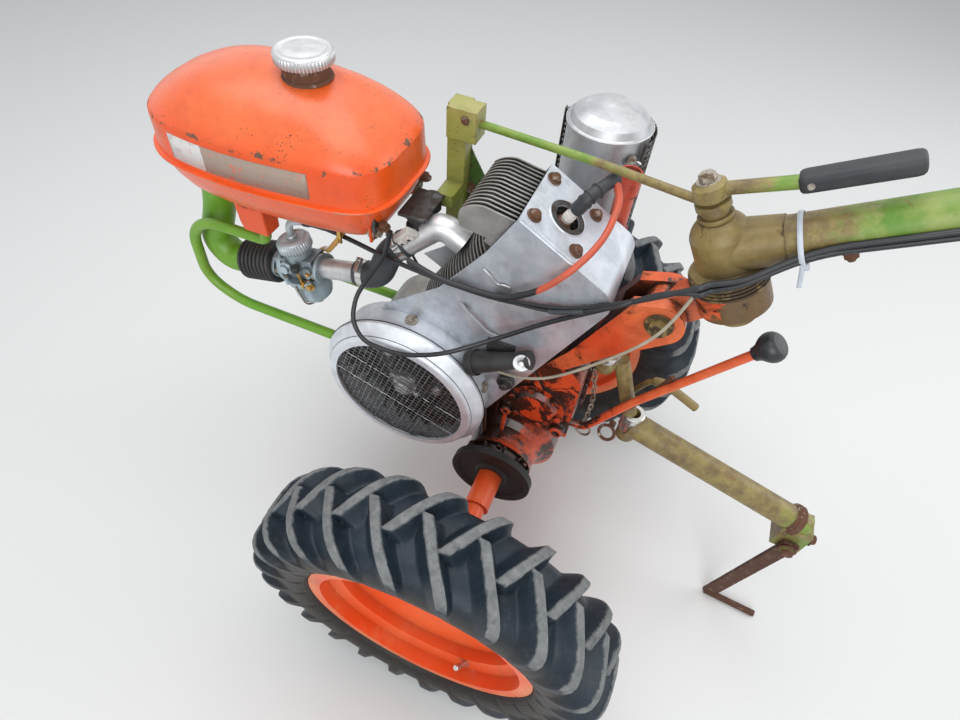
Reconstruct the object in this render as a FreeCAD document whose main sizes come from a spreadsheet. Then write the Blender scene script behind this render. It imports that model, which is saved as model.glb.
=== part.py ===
"""Walking tractor: two driven wheels, a fan-cooled engine ahead of the axle and a swinging handlebar.

Millimetres. +X points forward, +Y to the tractor's left and +Z up. The origin is on the floor,
under the middle of the wheel axle.
"""
import FreeCAD, Part
import math
import os
import Sketcher

V = FreeCAD.Vector
UP = V(0, 0, 1)
LEFT = V(0, 1, 0)

# Driving sizes: name, millimetres or degrees
SIZES = [
    # wheels
    ("tyre_radius", 262), ("tyre_width", 118), ("tyre_wall", 9), ("lug_height", 13),
    ("lug_width", 17), ("lugs_per_side", 24), ("rim_flange_radius", 167), ("rim_width", 92),
    ("rim_sheet", 4), ("wheel_left_y", 330), ("wheel_right_y", 270), ("hub_radius", 46),
    ("axle_shaft_radius", 15), ("axle_sleeve_radius", 20), ("axle_sleeve_end_y", 168),
    ("dust_disc_radius", 67), ("dust_disc_y", 97), ("dust_disc_thick", 12),
    # gearbox
    ("gearbox_half_width", 70), ("gearbox_front_x", 70), ("gearbox_rear_x", 92),
    ("gearbox_top_z", 488), ("gearbox_near_y", 33), ("gearbox_far_y", 98),
    ("axle_boss_radius", 46), ("side_cover_radius", 44),
    # engine
    ("crank_x", 162), ("crank_z", 388), ("cylinder_y", 10), ("cylinder_lean", 29.5),
    ("crankcase_radius", 92), ("crankcase_near_y", 34), ("crankcase_far_y", 74),
    ("deck_height", 95), ("head_depth", 62), ("head_gap", 10), ("barrel_radius", 46),
    ("fin_thick", 2.6), ("fin_pitch", 7.6), ("fin_count", 22), ("head_fin_count", 15),
    ("shroud_height", 362), ("shroud_half_width", 60), ("shroud_rear", 105),
    ("shroud_front", 49), ("sheet_thick", 2.5), ("stud_pitch_x", 65), ("stud_pitch_y", 76),
    ("plug_hole_radius", 17),
    # fan
    ("fan_drum_radius", 125), ("fan_seam_radius", 131), ("fan_ring_radius", 115),
    ("fan_opening_radius", 105), ("fan_seam_y", 84), ("fan_front_y", 107),
    ("fan_blade_radius", 110), ("fan_hub_radius", 34), ("fan_blades", 24), ("fan_shaft_radius", 12),
    ("grille_pitch", 17), ("grille_bar", 2.2),
    # fuel tank and its frame
    ("tank_nose_x", 530), ("tank_tail_x", 182), ("tank_half_width", 104), ("tank_seam_z", 694),
    ("tank_edge_z", 742), ("tank_top_z", 800), ("tank_floor_z", 632), ("tank_sheet", 1.5),
    ("cap_x", 312), ("cap_radius", 34.5), ("cap_top_z", 828), ("neck_radius", 27),
    ("mount_y", 64), ("mount_z", 658), ("post_x", 156), ("post_y", 88), ("post_size", 25),
    ("post_top_z", 765), ("guard_tube_radius", 8), ("guard_y", 60),
    # intake
    ("intake_y", 30), ("duct_radius", 23), ("bellows_radius", 24), ("carburettor_x", 350),
    ("carburettor_z", 514), ("intake_tilt", 14), ("intake_pipe_radius", 15), ("intake_hose_radius", 19),
    # exhaust
    ("muffler_x", -16), ("muffler_y", 168), ("muffler_radius", 54), ("muffler_foot_z", 560),
    ("muffler_seam_z", 745), ("muffler_top_z", 768), ("guard_gap", 5),
    # handlebar
    ("pivot_x", -187), ("pivot_z", 732), ("pivot_tilt", 30), ("pivot_radius", 21),
    ("pivot_ring_radius", 40), ("elbow_radius", 31), ("handle_tube_radius", 23),
    ("handle_rise", 31), ("ear_x", -156), ("ear_z", 624), ("ear_radius", 30), ("bar_radius", 13),
    ("grip_radius", 17), ("grip_y", 255), ("grip_end_x", -905), ("grip_z", 972),
    # drawbar and prop leg
    ("drawbar_radius", 20), ("neck_tube_radius", 11), ("drawbar_end_x", -478),
    ("drawbar_end_z", 288), ("leg_pivot_x", -467), ("leg_pivot_z", 258), ("leg_bar", 24), ("leg_y", 25),
    ("leg_thick", 6), ("foot_radius", 6),
]

doc = FreeCAD.newDocument("WalkingTractor")
sheet = doc.addObject("Spreadsheet::Sheet", "Sizes")


class Size:
    """A length or angle that carries its value and the cell expression that gives it."""

    def __init__(self, value, text):
        self.value = float(value)
        self.text = text

    def join(self, other, sign, value, swap=False):
        first, second = (words(other), self.text) if swap else (self.text, words(other))
        return Size(value, "(%s %s %s)" % (first, sign, second))

    def __add__(self, other):
        return self.join(other, "+", self.value + number(other))

    def __radd__(self, other):
        return self.join(other, "+", self.value + number(other), True)

    def __sub__(self, other):
        return self.join(other, "-", self.value - number(other))

    def __rsub__(self, other):
        return self.join(other, "-", number(other) - self.value, True)

    def __mul__(self, other):
        return self.join(other, "*", self.value * number(other))

    def __rmul__(self, other):
        return self.join(other, "*", self.value * number(other), True)

    def __truediv__(self, other):
        return self.join(other, "/", self.value / number(other))

    def __neg__(self):
        return Size(-self.value, "(-%s)" % self.text)

    def __float__(self):
        return self.value


def number(size):
    return float(size)


def words(size):
    return size.text if isinstance(size, Size) else "(%r)" % float(size)


class Sizes:
    """Every driving size by name."""


S = Sizes()
for row, (name, value) in enumerate(SIZES, start=1):
    sheet.set("A%d" % row, name)
    sheet.set("B%d" % row, str(value))
    sheet.setAlias("B%d" % row, name)
    setattr(S, name, Size(value, "Sizes.%s" % name))
S.barrel_top = S.shroud_height - S.head_depth
S.head_top = S.shroud_height - S.head_gap
doc.recompute()

parts = []


def keep(obj, label):
    """Name a finished sub-part; its label names its file."""
    obj.Label = label
    parts.append(obj)
    return obj


def bind(obj, prop, size):
    """Set a property and tie it to the sheet."""
    if isinstance(size, Size):
        obj.setExpression(prop, size.text)
    else:
        setattr(obj, prop, size)


def place(obj, x=0, y=0, z=0, axis=None, angle=0):
    """Put an object at a point that follows the sheet, turned about an axis."""
    turn = FreeCAD.Rotation(axis or UP, number(angle))
    obj.Placement = FreeCAD.Placement(V(number(x), number(y), number(z)), turn)
    for key, size in (("x", x), ("y", y), ("z", z)):
        if isinstance(size, Size):
            obj.setExpression("Placement.Base.%s" % key, size.text)
    if isinstance(angle, Size):
        obj.setExpression("Placement.Rotation.Angle", angle.text)
    return obj


def new_body(name):
    return doc.addObject("PartDesign::Body", name)


def pin_point(sketch, geo, pos, x, y):
    """Hold a sketch point at x, y by constraints that follow the sheet."""
    for kind, size, axis in (("DistanceX", x, -2), ("DistanceY", y, -1)):
        if not isinstance(size, Size) and abs(size) < 1e-9:
            sketch.addConstraint(Sketcher.Constraint("PointOnObject", geo, pos, axis))
            continue
        index = sketch.addConstraint(Sketcher.Constraint(kind, -1, 1, geo, pos, number(size)))
        if isinstance(size, Size):
            sketch.setExpression("Constraints[%d]" % index, size.text)


def arc_through(start, end, radius):
    """The short arc from start to end; a positive radius bows to the left of the way."""
    chord = end - start
    half = chord.Length / 2
    rise = abs(radius) - math.sqrt(max(radius * radius - half * half, 0))
    side = V(-chord.y, chord.x, 0).normalize() * (rise if radius > 0 else -rise)
    return Part.Arc(start, (start + end) * 0.5 + side, end)


def outline(body, plane, points, circles=()):
    """A closed sketch from (x, y) or (x, y, radius of the arc to the next point)."""
    sketch = body.newObject("Sketcher::SketchObject", "%s_sketch" % body.Name)
    origin = [f for f in body.Origin.OriginFeatures if f.Role == plane][0]
    sketch.AttachmentSupport = [(origin, "")]
    sketch.MapMode = "FlatFace"
    spots = [V(number(p[0]), number(p[1]), 0) for p in points]
    ends = []
    for i, point in enumerate(points):
        start, end = spots[i], spots[(i + 1) % len(spots)]
        if len(point) == 3:
            curve = arc_through(start, end, number(point[2]))
        else:
            curve = Part.LineSegment(start, end)
        geo = sketch.addGeometry(curve, False)
        first = 1 if (sketch.getPoint(geo, 1) - start).Length < 1e-6 else 2
        ends.append((geo, first, 3 - first))
    for i, point in enumerate(points):
        geo, first, last = ends[i]
        following = ends[(i + 1) % len(ends)]
        sketch.addConstraint(Sketcher.Constraint("Coincident", geo, last, following[0], following[1]))
        pin_point(sketch, geo, first, point[0], point[1])
        if len(point) == 3:
            radius = point[2]
            index = sketch.addConstraint(Sketcher.Constraint("Radius", geo, abs(number(radius))))
            if isinstance(radius, Size):
                sign = radius if radius.value > 0 else -radius
                sketch.setExpression("Constraints[%d]" % index, sign.text)
    for x, y, radius in circles:
        geo = sketch.addGeometry(Part.Circle(V(number(x), number(y), 0), UP, number(radius)), False)
        pin_point(sketch, geo, 3, x, y)
        index = sketch.addConstraint(Sketcher.Constraint("Radius", geo, number(radius)))
        if isinstance(radius, Size):
            sketch.setExpression("Constraints[%d]" % index, radius.text)
    return sketch


def turned(name, points, plane="XY_Plane"):
    """A body turned about its plane's second axis, from (radius, along) points."""
    body = new_body(name)
    sketch = outline(body, plane, points)
    turn = body.newObject("PartDesign::Revolution", "%s_turn" % name)
    turn.Profile = sketch
    turn.ReferenceAxis = (sketch, ["V_Axis"])
    turn.Angle = 360
    return body


def padded(name, plane, points, length, circles=(), both_sides=False):
    """A body padded from an outline, forwards along the plane's normal or to both sides."""
    body = new_body(name)
    sketch = outline(body, plane, points, circles)
    pad = body.newObject("PartDesign::Pad", "%s_pad" % name)
    pad.Profile = sketch
    pad.Midplane = both_sides
    bind(pad, "Length", length)
    return body


def cylinder(name, radius, height):
    rod = doc.addObject("Part::Cylinder", name)
    bind(rod, "Radius", radius)
    bind(rod, "Height", height)
    return rod


def box(name, length, width, height):
    block = doc.addObject("Part::Box", name)
    bind(block, "Length", length)
    bind(block, "Width", width)
    bind(block, "Height", height)
    return block


def fused(name, pieces):
    union = doc.addObject("Part::MultiFuse", name)
    union.Shapes = pieces
    return union


def cut(name, base, tool):
    left = doc.addObject("Part::Cut", name)
    left.Base = base
    left.Tool = tool
    return left


def point(x, y, z):
    return V(number(x), number(y), number(z))


def rod_between(name, start, end, radius):
    """A round rod from one point to another."""
    way = end - start
    rod = cylinder(name, radius, way.Length)
    rod.Placement = FreeCAD.Placement(start, FreeCAD.Rotation(UP, way))
    return rod


def route(points, bend=None):
    """A wire of straight runs joined by tangent arcs, each as large as its two runs allow."""
    edges = []
    here = points[0]
    for before, corner, after in zip(points, points[1:], points[2:]):
        back, on = before - corner, after - corner
        turn = math.pi - back.getAngle(on)
        trim = 0.45 * min(back.Length, on.Length)
        if bend:
            trim = min(trim, bend * math.tan(turn / 2))
        first = corner + back.normalize() * trim
        last = corner + on.normalize() * trim
        radius = trim / math.tan(turn / 2)
        centre_way = (back + on).normalize()
        middle = corner + centre_way * (radius / math.cos(turn / 2) - radius)
        edges.append(Part.LineSegment(here, first).toShape())
        edges.append(Part.Arc(first, middle, last).toShape())
        here = last
    edges.append(Part.LineSegment(here, points[-1]).toShape())
    return Part.Wire(edges)


def swept(points, radius, bend=None):
    """A round tube or hose along a route."""
    spine = route(points, bend)
    way = points[1] - points[0]
    ring = Part.Wire([Part.Circle(points[0], way, radius).toShape()])
    return spine.makePipeShell([ring], True, True)


def feature(name, shape):
    """A sub-part whose form needs its own construction."""
    obj = doc.addObject("Part::Feature", name)
    obj.Shape = shape
    return obj


# Wheels

def polyhedron(faces):
    """A solid with flat faces, each given by its corners."""
    flats = [Part.Face(Part.makePolygon(corners + corners[:1])) for corners in faces]
    shell = Part.Shell(flats)
    shell.sewShape()
    solid = Part.Solid(shell)
    if solid.Volume < 0:
        solid.reverse()
    return solid


def faceted_ring(profile, sides):
    """A ring about Y with flat sides, from a closed profile of radius and place along Y."""
    step = 2 * math.pi / sides
    reach = 1 / math.cos(step / 2)
    rings = []
    for i in range(sides):
        turn = step * (i + 0.5)
        rings.append([V(radius * reach * math.cos(turn), along, radius * reach * math.sin(turn))
                      for radius, along in profile])
    faces = []
    for ring, next_ring in zip(rings, rings[1:] + rings[:1]):
        for k in range(len(profile)):
            after = (k + 1) % len(profile)
            faces.append([ring[k], ring[after], next_ring[after], next_ring[k]])
    return polyhedron(faces)


def lug(side, turn_deg):
    """One slanting tread bar, from the tyre's centre line over its shoulder and down its wall."""
    sweep = 13.0
    top = S.tyre_radius.value
    edge = S.tyre_width.value / 2
    stations = [  # across the tyre, radius, lean of the top, height, turn, widths of top and foot
        (-3.0, top, 0, 22, 0.0, 0.50, 1.1),
        (edge * 0.64, top - 2, 8, 22, sweep * 0.62, 0.55, 1.3),
        (edge, top - 15, 45, 20, sweep, 0.80, 1.5),
        (edge + 4, top - 46, 85, 12, sweep * 1.08, 0.70, 1.2),
    ]
    half = math.degrees(S.lug_width.value / 2 / top)
    rings = []
    for across, radius, lean, height, turn, top_width, foot_width in stations:
        foot_across = across - height * math.sin(math.radians(lean))
        foot_radius = radius - height * math.cos(math.radians(lean))
        corners = []
        foot = (foot_across, foot_radius)
        crest = (across, radius)
        ends = [(foot, foot_width), (foot, -foot_width), (crest, -top_width), (crest, top_width)]
        for (spot, reach), spread in ends:
            angle = math.radians(turn_deg + turn + spread * half)
            corners.append(V(reach * math.cos(angle), side * spot, reach * math.sin(angle)))
        rings.append(corners)
    faces = [rings[0], rings[-1]]
    for ring, next_ring in zip(rings, rings[1:]):
        for k in range(4):
            after = (k + 1) % 4
            faces.append([ring[k], ring[after], next_ring[after]])
            faces.append([ring[k], next_ring[after], next_ring[k]])
    return polyhedron(faces)


def tyre_body():
    """The hollow tyre without its lugs: tread, shoulders, walls and beads."""
    half = S.tyre_width.value / 2
    tread = S.tyre_radius.value - S.lug_height.value
    flange = S.rim_flange_radius.value
    edge = S.rim_width.value / 2
    seat = edge - S.rim_sheet.value
    wall = S.tyre_wall.value
    near = [
        (tread, 30), (tread - 13, half - 7), (tread - 34, half), (flange + 14, half - 3),
        (flange + 0.5, edge + 1), (flange + 0.5, seat), (flange - 14, seat), (flange - 14, seat - 12),
        (flange + 14, half - 3 - wall), (tread - 13 - wall, half - 7 - wall)]
    far = [(radius, -along) for radius, along in reversed(near)]
    return faceted_ring(near + far, int(S.lugs_per_side.value))


carcass = tyre_body()
pitch = 360.0 / S.lugs_per_side.value
bars = [lug(1, i * pitch) for i in range(int(S.lugs_per_side.value))]
bars += [lug(-1, (i + 0.5) * pitch) for i in range(int(S.lugs_per_side.value))]
treaded = carcass.fuse(bars).removeSplitter()

WHEELS = [("left", 1, S.wheel_left_y), ("right", -1, S.wheel_right_y)]

for side, sign, offset in WHEELS:
    middle = sign * offset
    tyre = feature("Tyre_%s" % side, treaded)
    place(tyre, 0, middle, S.tyre_radius)
    keep(tyre, "tyre_%s" % side)

    edge = S.rim_width / 2
    flange = S.rim_flange_radius
    seat = flange - 14
    well = flange - 32
    thick = S.rim_sheet
    rim = turned("Rim_%s" % side, [
        (flange, edge), (seat - thick, edge), (seat - thick, 26), (well - thick, 19), (well - thick, 2),
        (S.hub_radius, -12), (S.axle_shaft_radius, -12), (S.axle_shaft_radius, -12 - thick),
        (S.hub_radius, -12 - thick), (well - thick, -thick), (well - thick, -19), (seat - thick, -26),
        (seat - thick, -edge), (flange, -edge), (flange, thick - edge), (seat, thick - edge),
        (seat, -24), (well, -16), (well, 16), (seat, 24), (seat, edge - thick), (flange, edge - thick)])
    place(rim, 0, middle, S.tyre_radius, V(0, 0, 1), 0 if sign > 0 else 180)
    keep(rim, "rim_%s" % side)

    # The wheel's flange, shaft and pinned sleeve, which sets the track
    hub_y = offset - 12 - thick
    sleeve_end = S.axle_sleeve_end_y
    disc_end = S.dust_disc_y + S.dust_disc_thick
    stub = turned("AxleStub_%s" % side, [
        (0, S.gearbox_half_width + 5), (S.axle_shaft_radius, S.gearbox_half_width + 5),
        (S.axle_shaft_radius, disc_end), (S.axle_sleeve_radius, disc_end), (S.axle_sleeve_radius, sleeve_end),
        (S.axle_shaft_radius, sleeve_end), (S.axle_shaft_radius, hub_y - 10),
        (S.hub_radius, hub_y - 10), (S.hub_radius, hub_y), (0, hub_y)])
    place(stub, 0, 0, S.tyre_radius, V(0, 0, 1), 0 if sign > 0 else 180)
    keep(stub, "axle_stub_%s" % side)

    disc = turned("DustDisc_%s" % side, [
        (S.axle_shaft_radius, S.dust_disc_y), (S.dust_disc_radius, S.dust_disc_y),
        (S.dust_disc_radius, disc_end),
        (S.dust_disc_radius - 4, disc_end), (S.dust_disc_radius - 9, disc_end - 5),
        (S.axle_sleeve_radius + 9, disc_end - 5), (S.axle_sleeve_radius + 4, disc_end),
        (S.axle_shaft_radius, disc_end)])
    place(disc, 0, 0, S.tyre_radius, V(0, 0, 1), 0 if sign > 0 else 180)
    keep(disc, "dust_disc_%s" % side)


# Gearbox

upper_half = (S.gearbox_near_y + S.gearbox_far_y) / 2
lean_back = S.gearbox_top_z - 83
case_upper = padded("CaseUpper", "XZ_Plane", [
    (-S.gearbox_rear_x, S.tyre_radius + 70), (S.gearbox_front_x - 12, S.tyre_radius + 70),
    (S.gearbox_front_x, S.tyre_radius + 82), (S.gearbox_front_x, lean_back - 7),
    (S.gearbox_front_x - 30, lean_back),
    (-7, S.gearbox_top_z), (30 - S.gearbox_rear_x, S.gearbox_top_z, -30),
    (-S.gearbox_rear_x, S.gearbox_top_z - 30)],
    upper_half * 2, both_sides=True)
place(case_upper, 0, S.gearbox_near_y - upper_half, 0)
case_lower = turned("CaseLower", [
    (0, -S.gearbox_half_width), (52, -S.gearbox_half_width), (58, -44), (66, -34), (80, -24), (80, 24),
    (66, 34), (58, 44), (52, S.gearbox_half_width), (0, S.gearbox_half_width)])
place(case_lower, 0, 0, S.tyre_radius)
case_lip = padded("CaseLip", "XZ_Plane", [
    (-S.gearbox_rear_x - 7, S.tyre_radius + 82), (20 - S.gearbox_rear_x, S.tyre_radius + 82),
    (20 - S.gearbox_rear_x, S.gearbox_top_z - 3), (-S.gearbox_rear_x - 7, S.gearbox_top_z - 28)],
    9, both_sides=True)
place(case_lip, 0, S.gearbox_near_y - upper_half, 0)
gearbox = fused("Gearbox", [case_upper, case_lower, case_lip])
keep(gearbox, "gearbox")

boss_end = S.dust_disc_y - 6
shaft_room = S.axle_shaft_radius + 0.05
boss_points = [
    (0, S.gearbox_half_width), (S.axle_boss_radius + 10, S.gearbox_half_width),
    (S.axle_boss_radius + 10, S.gearbox_half_width + 7), (S.axle_boss_radius, S.gearbox_half_width + 7),
    (S.axle_boss_radius - 4, boss_end), (shaft_room, boss_end), (shaft_room, S.gearbox_half_width + 4),
    (0, S.gearbox_half_width + 4)]
bosses = []
for side, sign, offset in WHEELS:
    boss = turned("AxleBoss_%s" % side, boss_points)
    place(boss, 0, 0, S.tyre_radius, V(0, 0, 1), 0 if sign > 0 else 180)
    bosses.append(boss)
keep(fused("AxleBosses", bosses), "axle_housing")

covers = []
COVERS = [
    ("near", 0, S.gearbox_near_y, S.tyre_radius + 130),
    ("far", 180, -S.gearbox_far_y, S.tyre_radius + 150)]
for side, turn, face, height in COVERS:
    cover = turned("SideCover_%s" % side, [
        (0, 0), (S.side_cover_radius, 0), (S.side_cover_radius, 5), (S.side_cover_radius - 10, 5),
        (S.side_cover_radius - 16, 12), (0, 12)])
    place(cover, -36, face, height, V(0, 0, 1), turn)
    covers.append(cover)
keep(fused("SideCovers", covers), "gearbox_covers")


# Engine: the cylinder's own frame has its foot on the crankshaft and its axis up the bore

def on_cylinder(obj):
    return place(obj, S.crank_x, -S.cylinder_y, S.crank_z, LEFT, -S.cylinder_lean)


case_round = cylinder("CaseRound", S.crankcase_radius, S.crankcase_near_y + S.crankcase_far_y)
place(case_round, S.crank_x, S.crankcase_near_y, S.crank_z, V(1, 0, 0), 90)
case_rear = box("CaseRear", S.crank_x - S.gearbox_front_x, S.crankcase_near_y + S.crankcase_far_y, 124)
place(case_rear, S.gearbox_front_x, -S.crankcase_far_y, S.crank_z - 84)
case_sump = box("CaseSump", 120, S.crankcase_near_y + S.crankcase_far_y - 12, 90)
place(case_sump, S.crank_x - 50, 6 - S.crankcase_far_y, S.crank_z - 104)
case_deck = padded("CaseDeck", "XZ_Plane", [
    (-56, S.deck_height - 60), (56, S.deck_height - 60), (56, S.deck_height), (-56, S.deck_height)],
    86, both_sides=True)
on_cylinder(case_deck)
case_block = fused("CaseBlock", [case_round, case_rear, case_sump, case_deck])
shaft_bore = cylinder("ShaftBore", S.fan_shaft_radius + 0.05, 25)
place(shaft_bore, S.crank_x, S.crankcase_near_y + 1, S.crank_z, V(1, 0, 0), 90)
keep(cut("Crankcase", case_block, shaft_bore), "crankcase")

barrel_core = turned("BarrelCore", [
    (0, S.deck_height), (S.barrel_radius + 4, S.deck_height), (S.barrel_radius + 4, S.deck_height + 10),
    (S.barrel_radius, S.deck_height + 10), (S.barrel_radius, S.barrel_top), (0, S.barrel_top)], "XZ_Plane")
fins = new_body("BarrelFins")
fin_sketch = outline(fins, "XY_Plane", [
    (-92, -55), (40, -55, -70), (70, 0, -70), (40, 55), (-92, 55)])
doc.recompute()
fin_sketch.AttachmentOffset = FreeCAD.Placement(V(0, 0, S.deck_height.value + 26), FreeCAD.Rotation())
fin = fins.newObject("PartDesign::Pad", "BarrelFin")
fin.Profile = fin_sketch
bind(fin, "Length", S.fin_thick)
doc.recompute()
row_of_fins = fins.newObject("PartDesign::LinearPattern", "BarrelFinRow")
row_of_fins.Originals = [fin]
row_of_fins.Direction = (fin_sketch, ["N_Axis"])
bind(row_of_fins, "Length", S.fin_pitch * (S.fin_count - 1))
bind(row_of_fins, "Occurrences", S.fin_count)
fins.Tip = row_of_fins
barrel_whole = fused("BarrelWhole", [barrel_core, fins])
on_cylinder(barrel_whole)
drum_room = cylinder("DrumRoom", S.fan_drum_radius + 0.3, 80)
place(drum_room, S.crank_x, S.crankcase_near_y + 80, S.crank_z, V(1, 0, 0), 90)
barrel = cut("Barrel", barrel_whole, drum_room)
keep(barrel, "cylinder_barrel")

head_core = new_body("HeadCore")
head_sketch = outline(head_core, "XZ_Plane", [
    (-88, S.barrel_top), (60, S.barrel_top), (60, S.barrel_top + 14), (-88, S.barrel_top + 14)])
head_pad = head_core.newObject("PartDesign::Pad", "HeadCorePad")
head_pad.Profile = head_sketch
head_pad.Midplane = True
bind(head_pad, "Length", S.shroud_half_width * 2 - 10)
fin_step = (S.shroud_half_width.value * 2 - 13) / (S.head_fin_count.value - 1)
fin_outline = [
    (-88, S.barrel_top + 10), (50, S.barrel_top + 10), (92, S.barrel_top - 6, -34),
    (104, S.barrel_top + 14, -42), (84, S.barrel_top + 40), (S.shroud_front, S.head_top),
    (-88, S.head_top)]
head_fin = padded("HeadFin", "XZ_Plane", fin_outline, S.fin_thick, both_sides=True)
doc.recompute()
fin_shapes = []
for i in range(int(S.head_fin_count.value)):
    copy = head_fin.Shape.copy()
    copy.translate(V(0, (i - (S.head_fin_count.value - 1) / 2) * fin_step, 0))
    fin_shapes.append(copy)
plug_well = Part.makeCylinder(16, 60, V(0, 0, S.barrel_top.value + 12))
head_shape = head_core.Shape.fuse(fin_shapes).cut(plug_well)
studs = []
for sx in (-1, 1):
    for sy in (-1, 1):
        spot = V(sx * S.stud_pitch_x.value / 2, sy * S.stud_pitch_y.value / 2, S.barrel_top.value + 10)
        studs.append(Part.makeCylinder(8, S.shroud_height.value - S.sheet_thick.value - spot.z, spot))
head = feature("CylinderHead", head_shape.fuse(studs).removeSplitter())
on_cylinder(head)
keep(head, "cylinder_head")

# The sheet shroud: near, far and rear walls with a top plate, open ahead of the fins
shroud_block = padded("ShroudBlock", "XZ_Plane", [
    (-S.shroud_rear - 19, 36), (20 - S.shroud_rear, -10), (95, -10), (100, 90), (60, S.shroud_height - 172),
    (S.shroud_front, S.shroud_height - 72), (S.shroud_front, S.shroud_height),
    (28 - S.shroud_rear, S.shroud_height, -28),
    (-S.shroud_rear, S.shroud_height - 28)], S.shroud_half_width * 2, both_sides=True)
shroud_room = padded("ShroudRoom", "XZ_Plane", [
    (S.sheet_thick - S.shroud_rear - 17, 30), (S.sheet_thick - S.shroud_rear, -40), (160, -40),
    (160, S.shroud_height - S.sheet_thick), (30 - S.shroud_rear, S.shroud_height - S.sheet_thick, -26),
    (S.sheet_thick - S.shroud_rear, S.shroud_height - 30)],
    (S.shroud_half_width - S.sheet_thick) * 2, both_sides=True)
doc.recompute()
shroud_shape = shroud_block.Shape.cut(shroud_room.Shape)
far_half = Part.makeBox(400, 105, 145, V(-200, -105, -50))
shroud_shape = shroud_shape.cut(far_half)
plug_hole = Part.makeCylinder(S.plug_hole_radius.value, 20, V(0, 0, S.shroud_height.value - 10))
port_hole = Part.makeCylinder(24, 30, V(-20, -S.shroud_half_width.value - 10, 235), V(0, 1, 0))
shroud_shape = shroud_shape.cut([plug_hole, port_hole])
drum_foot = V(0, S.crankcase_near_y.value - 20, 0)
drum_space = Part.makeCylinder(S.fan_drum_radius.value + 0.2, 80, drum_foot, LEFT)
case_room = Part.makeCylinder(S.crankcase_radius.value + 1, 150, V(0, -100, 0), V(0, 1, 0))
shroud_shape = shroud_shape.cut([drum_space, case_room])
shroud_sheet = feature("ShroudSheet", shroud_shape)
on_cylinder(shroud_sheet)
shroud_seat = fused("ShroudSeat", [gearbox, doc.getObject("Crankcase")])
keep(cut("CoolingShroud", shroud_sheet, shroud_seat), "cooling_shroud")


# Fan

def on_crank(obj):
    return place(obj, S.crank_x, 0, S.crank_z)


back = S.crankcase_near_y
housing = turned("FanHousing", [
    (30, back), (S.fan_drum_radius, back), (S.fan_drum_radius, S.fan_seam_y - 2),
    (S.fan_seam_radius, S.fan_seam_y - 2), (S.fan_seam_radius, S.fan_seam_y + 2),
    (S.fan_ring_radius + 4, S.fan_front_y - 6, -8), (S.fan_ring_radius - 2, S.fan_front_y),
    (S.fan_opening_radius, S.fan_front_y), (S.fan_opening_radius, S.fan_front_y - 3),
    (S.fan_ring_radius - 3, S.fan_front_y - 3), (S.fan_ring_radius + 1, S.fan_front_y - 8),
    (S.fan_drum_radius - 3, S.fan_seam_y), (S.fan_drum_radius - 3, back + 3), (30, back + 3)])
on_crank(housing)
keep(housing, "fan_housing")

grille_radius = S.fan_ring_radius.value - 3.5
grille = Part.makeCylinder(grille_radius, 2, V(0, S.fan_front_y.value - 5, 0), V(0, 1, 0))
cells = []
step = S.grille_pitch.value
gap = step - S.grille_bar.value
reach = S.fan_opening_radius.value
count = int(reach / step) + 1
for i in range(-count, count + 1):
    for k in range(-count, count + 1):
        centre_x = (i + 0.5) * step
        centre_z = (k + 0.5) * step
        if math.hypot(centre_x, centre_z) + gap * 0.6 < reach:
            corner = V(centre_x - gap / 2, S.fan_front_y.value - 10, centre_z - gap / 2)
            cells.append(Part.makeBox(gap, 10, gap, corner))
grille = feature("FanGrille", grille.cut(cells))
on_crank(grille)
keep(grille, "fan_grille")

rotor_core = turned("RotorCore", [
    (0, back - 16), (S.fan_shaft_radius, back - 16), (S.fan_shaft_radius, back + 10),
    (S.fan_blade_radius, back + 10), (S.fan_blade_radius, back + 13), (S.fan_hub_radius, back + 16),
    (S.fan_hub_radius - 4, back + 46), (0, back + 46)])
doc.recompute()
blade = Part.makeBox(S.fan_blade_radius.value - 62, 34, 3, V(60, back.value + 12, -1.5))
blades = []
for i in range(int(S.fan_blades.value)):
    copy = blade.copy()
    copy.rotate(V(85, 0, 0), V(0, 1, 0), 25)
    copy.rotate(V(0, 0, 0), V(0, 1, 0), i * 360.0 / S.fan_blades.value)
    blades.append(copy)
rotor = feature("FanRotor", rotor_core.Shape.fuse(blades))
on_crank(rotor)
keep(rotor, "fan_rotor")


# Spark plug, ignition coil and lead

plug = turned("SparkPlug", [
    (0, S.barrel_top + 12), (6, S.barrel_top + 12), (6, S.barrel_top + 22), (13, S.barrel_top + 22),
    (13, S.barrel_top + 34), (8, S.barrel_top + 36), (8, S.shroud_height + 8), (5, S.shroud_height + 10),
    (5, S.shroud_height + 22), (0, S.shroud_height + 22)], "XZ_Plane")
on_cylinder(plug)
keep(plug, "spark_plug")


def from_cylinder(e, y, s):
    """A point given along the shroud, across and up the bore, in the tractor's frame."""
    lean = math.radians(S.cylinder_lean.value)
    x = S.crank_x.value + e * math.cos(lean) - s * math.sin(lean)
    z = S.crank_z.value + e * math.sin(lean) + s * math.cos(lean)
    return V(x, y, z)


near_wall = S.shroud_half_width.value - S.cylinder_y.value
coil_foot = from_cylinder(-83, near_wall, 205)
coil_nose = from_cylinder(-40, near_wall, 130)
coil_radius = 17
lift = V(0, coil_radius + 4, 0)
coil_body = doc.addObject("Part::Cone", "CoilBody")
coil_body.Radius1 = coil_radius
coil_body.Radius2 = 10
coil_body.Height = (coil_foot - coil_nose).Length + 6
coil_body.Placement = FreeCAD.Placement(coil_nose + lift, FreeCAD.Rotation(UP, coil_foot - coil_nose))
coil_seat = box("CoilSeat", 40, 5, 40)
coil_seat.Placement = FreeCAD.Placement((coil_foot + coil_nose) * 0.5 + V(-20, 0, -20), FreeCAD.Rotation())
keep(fused("IgnitionCoil", [coil_body, coil_seat]), "ignition_coil")

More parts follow.
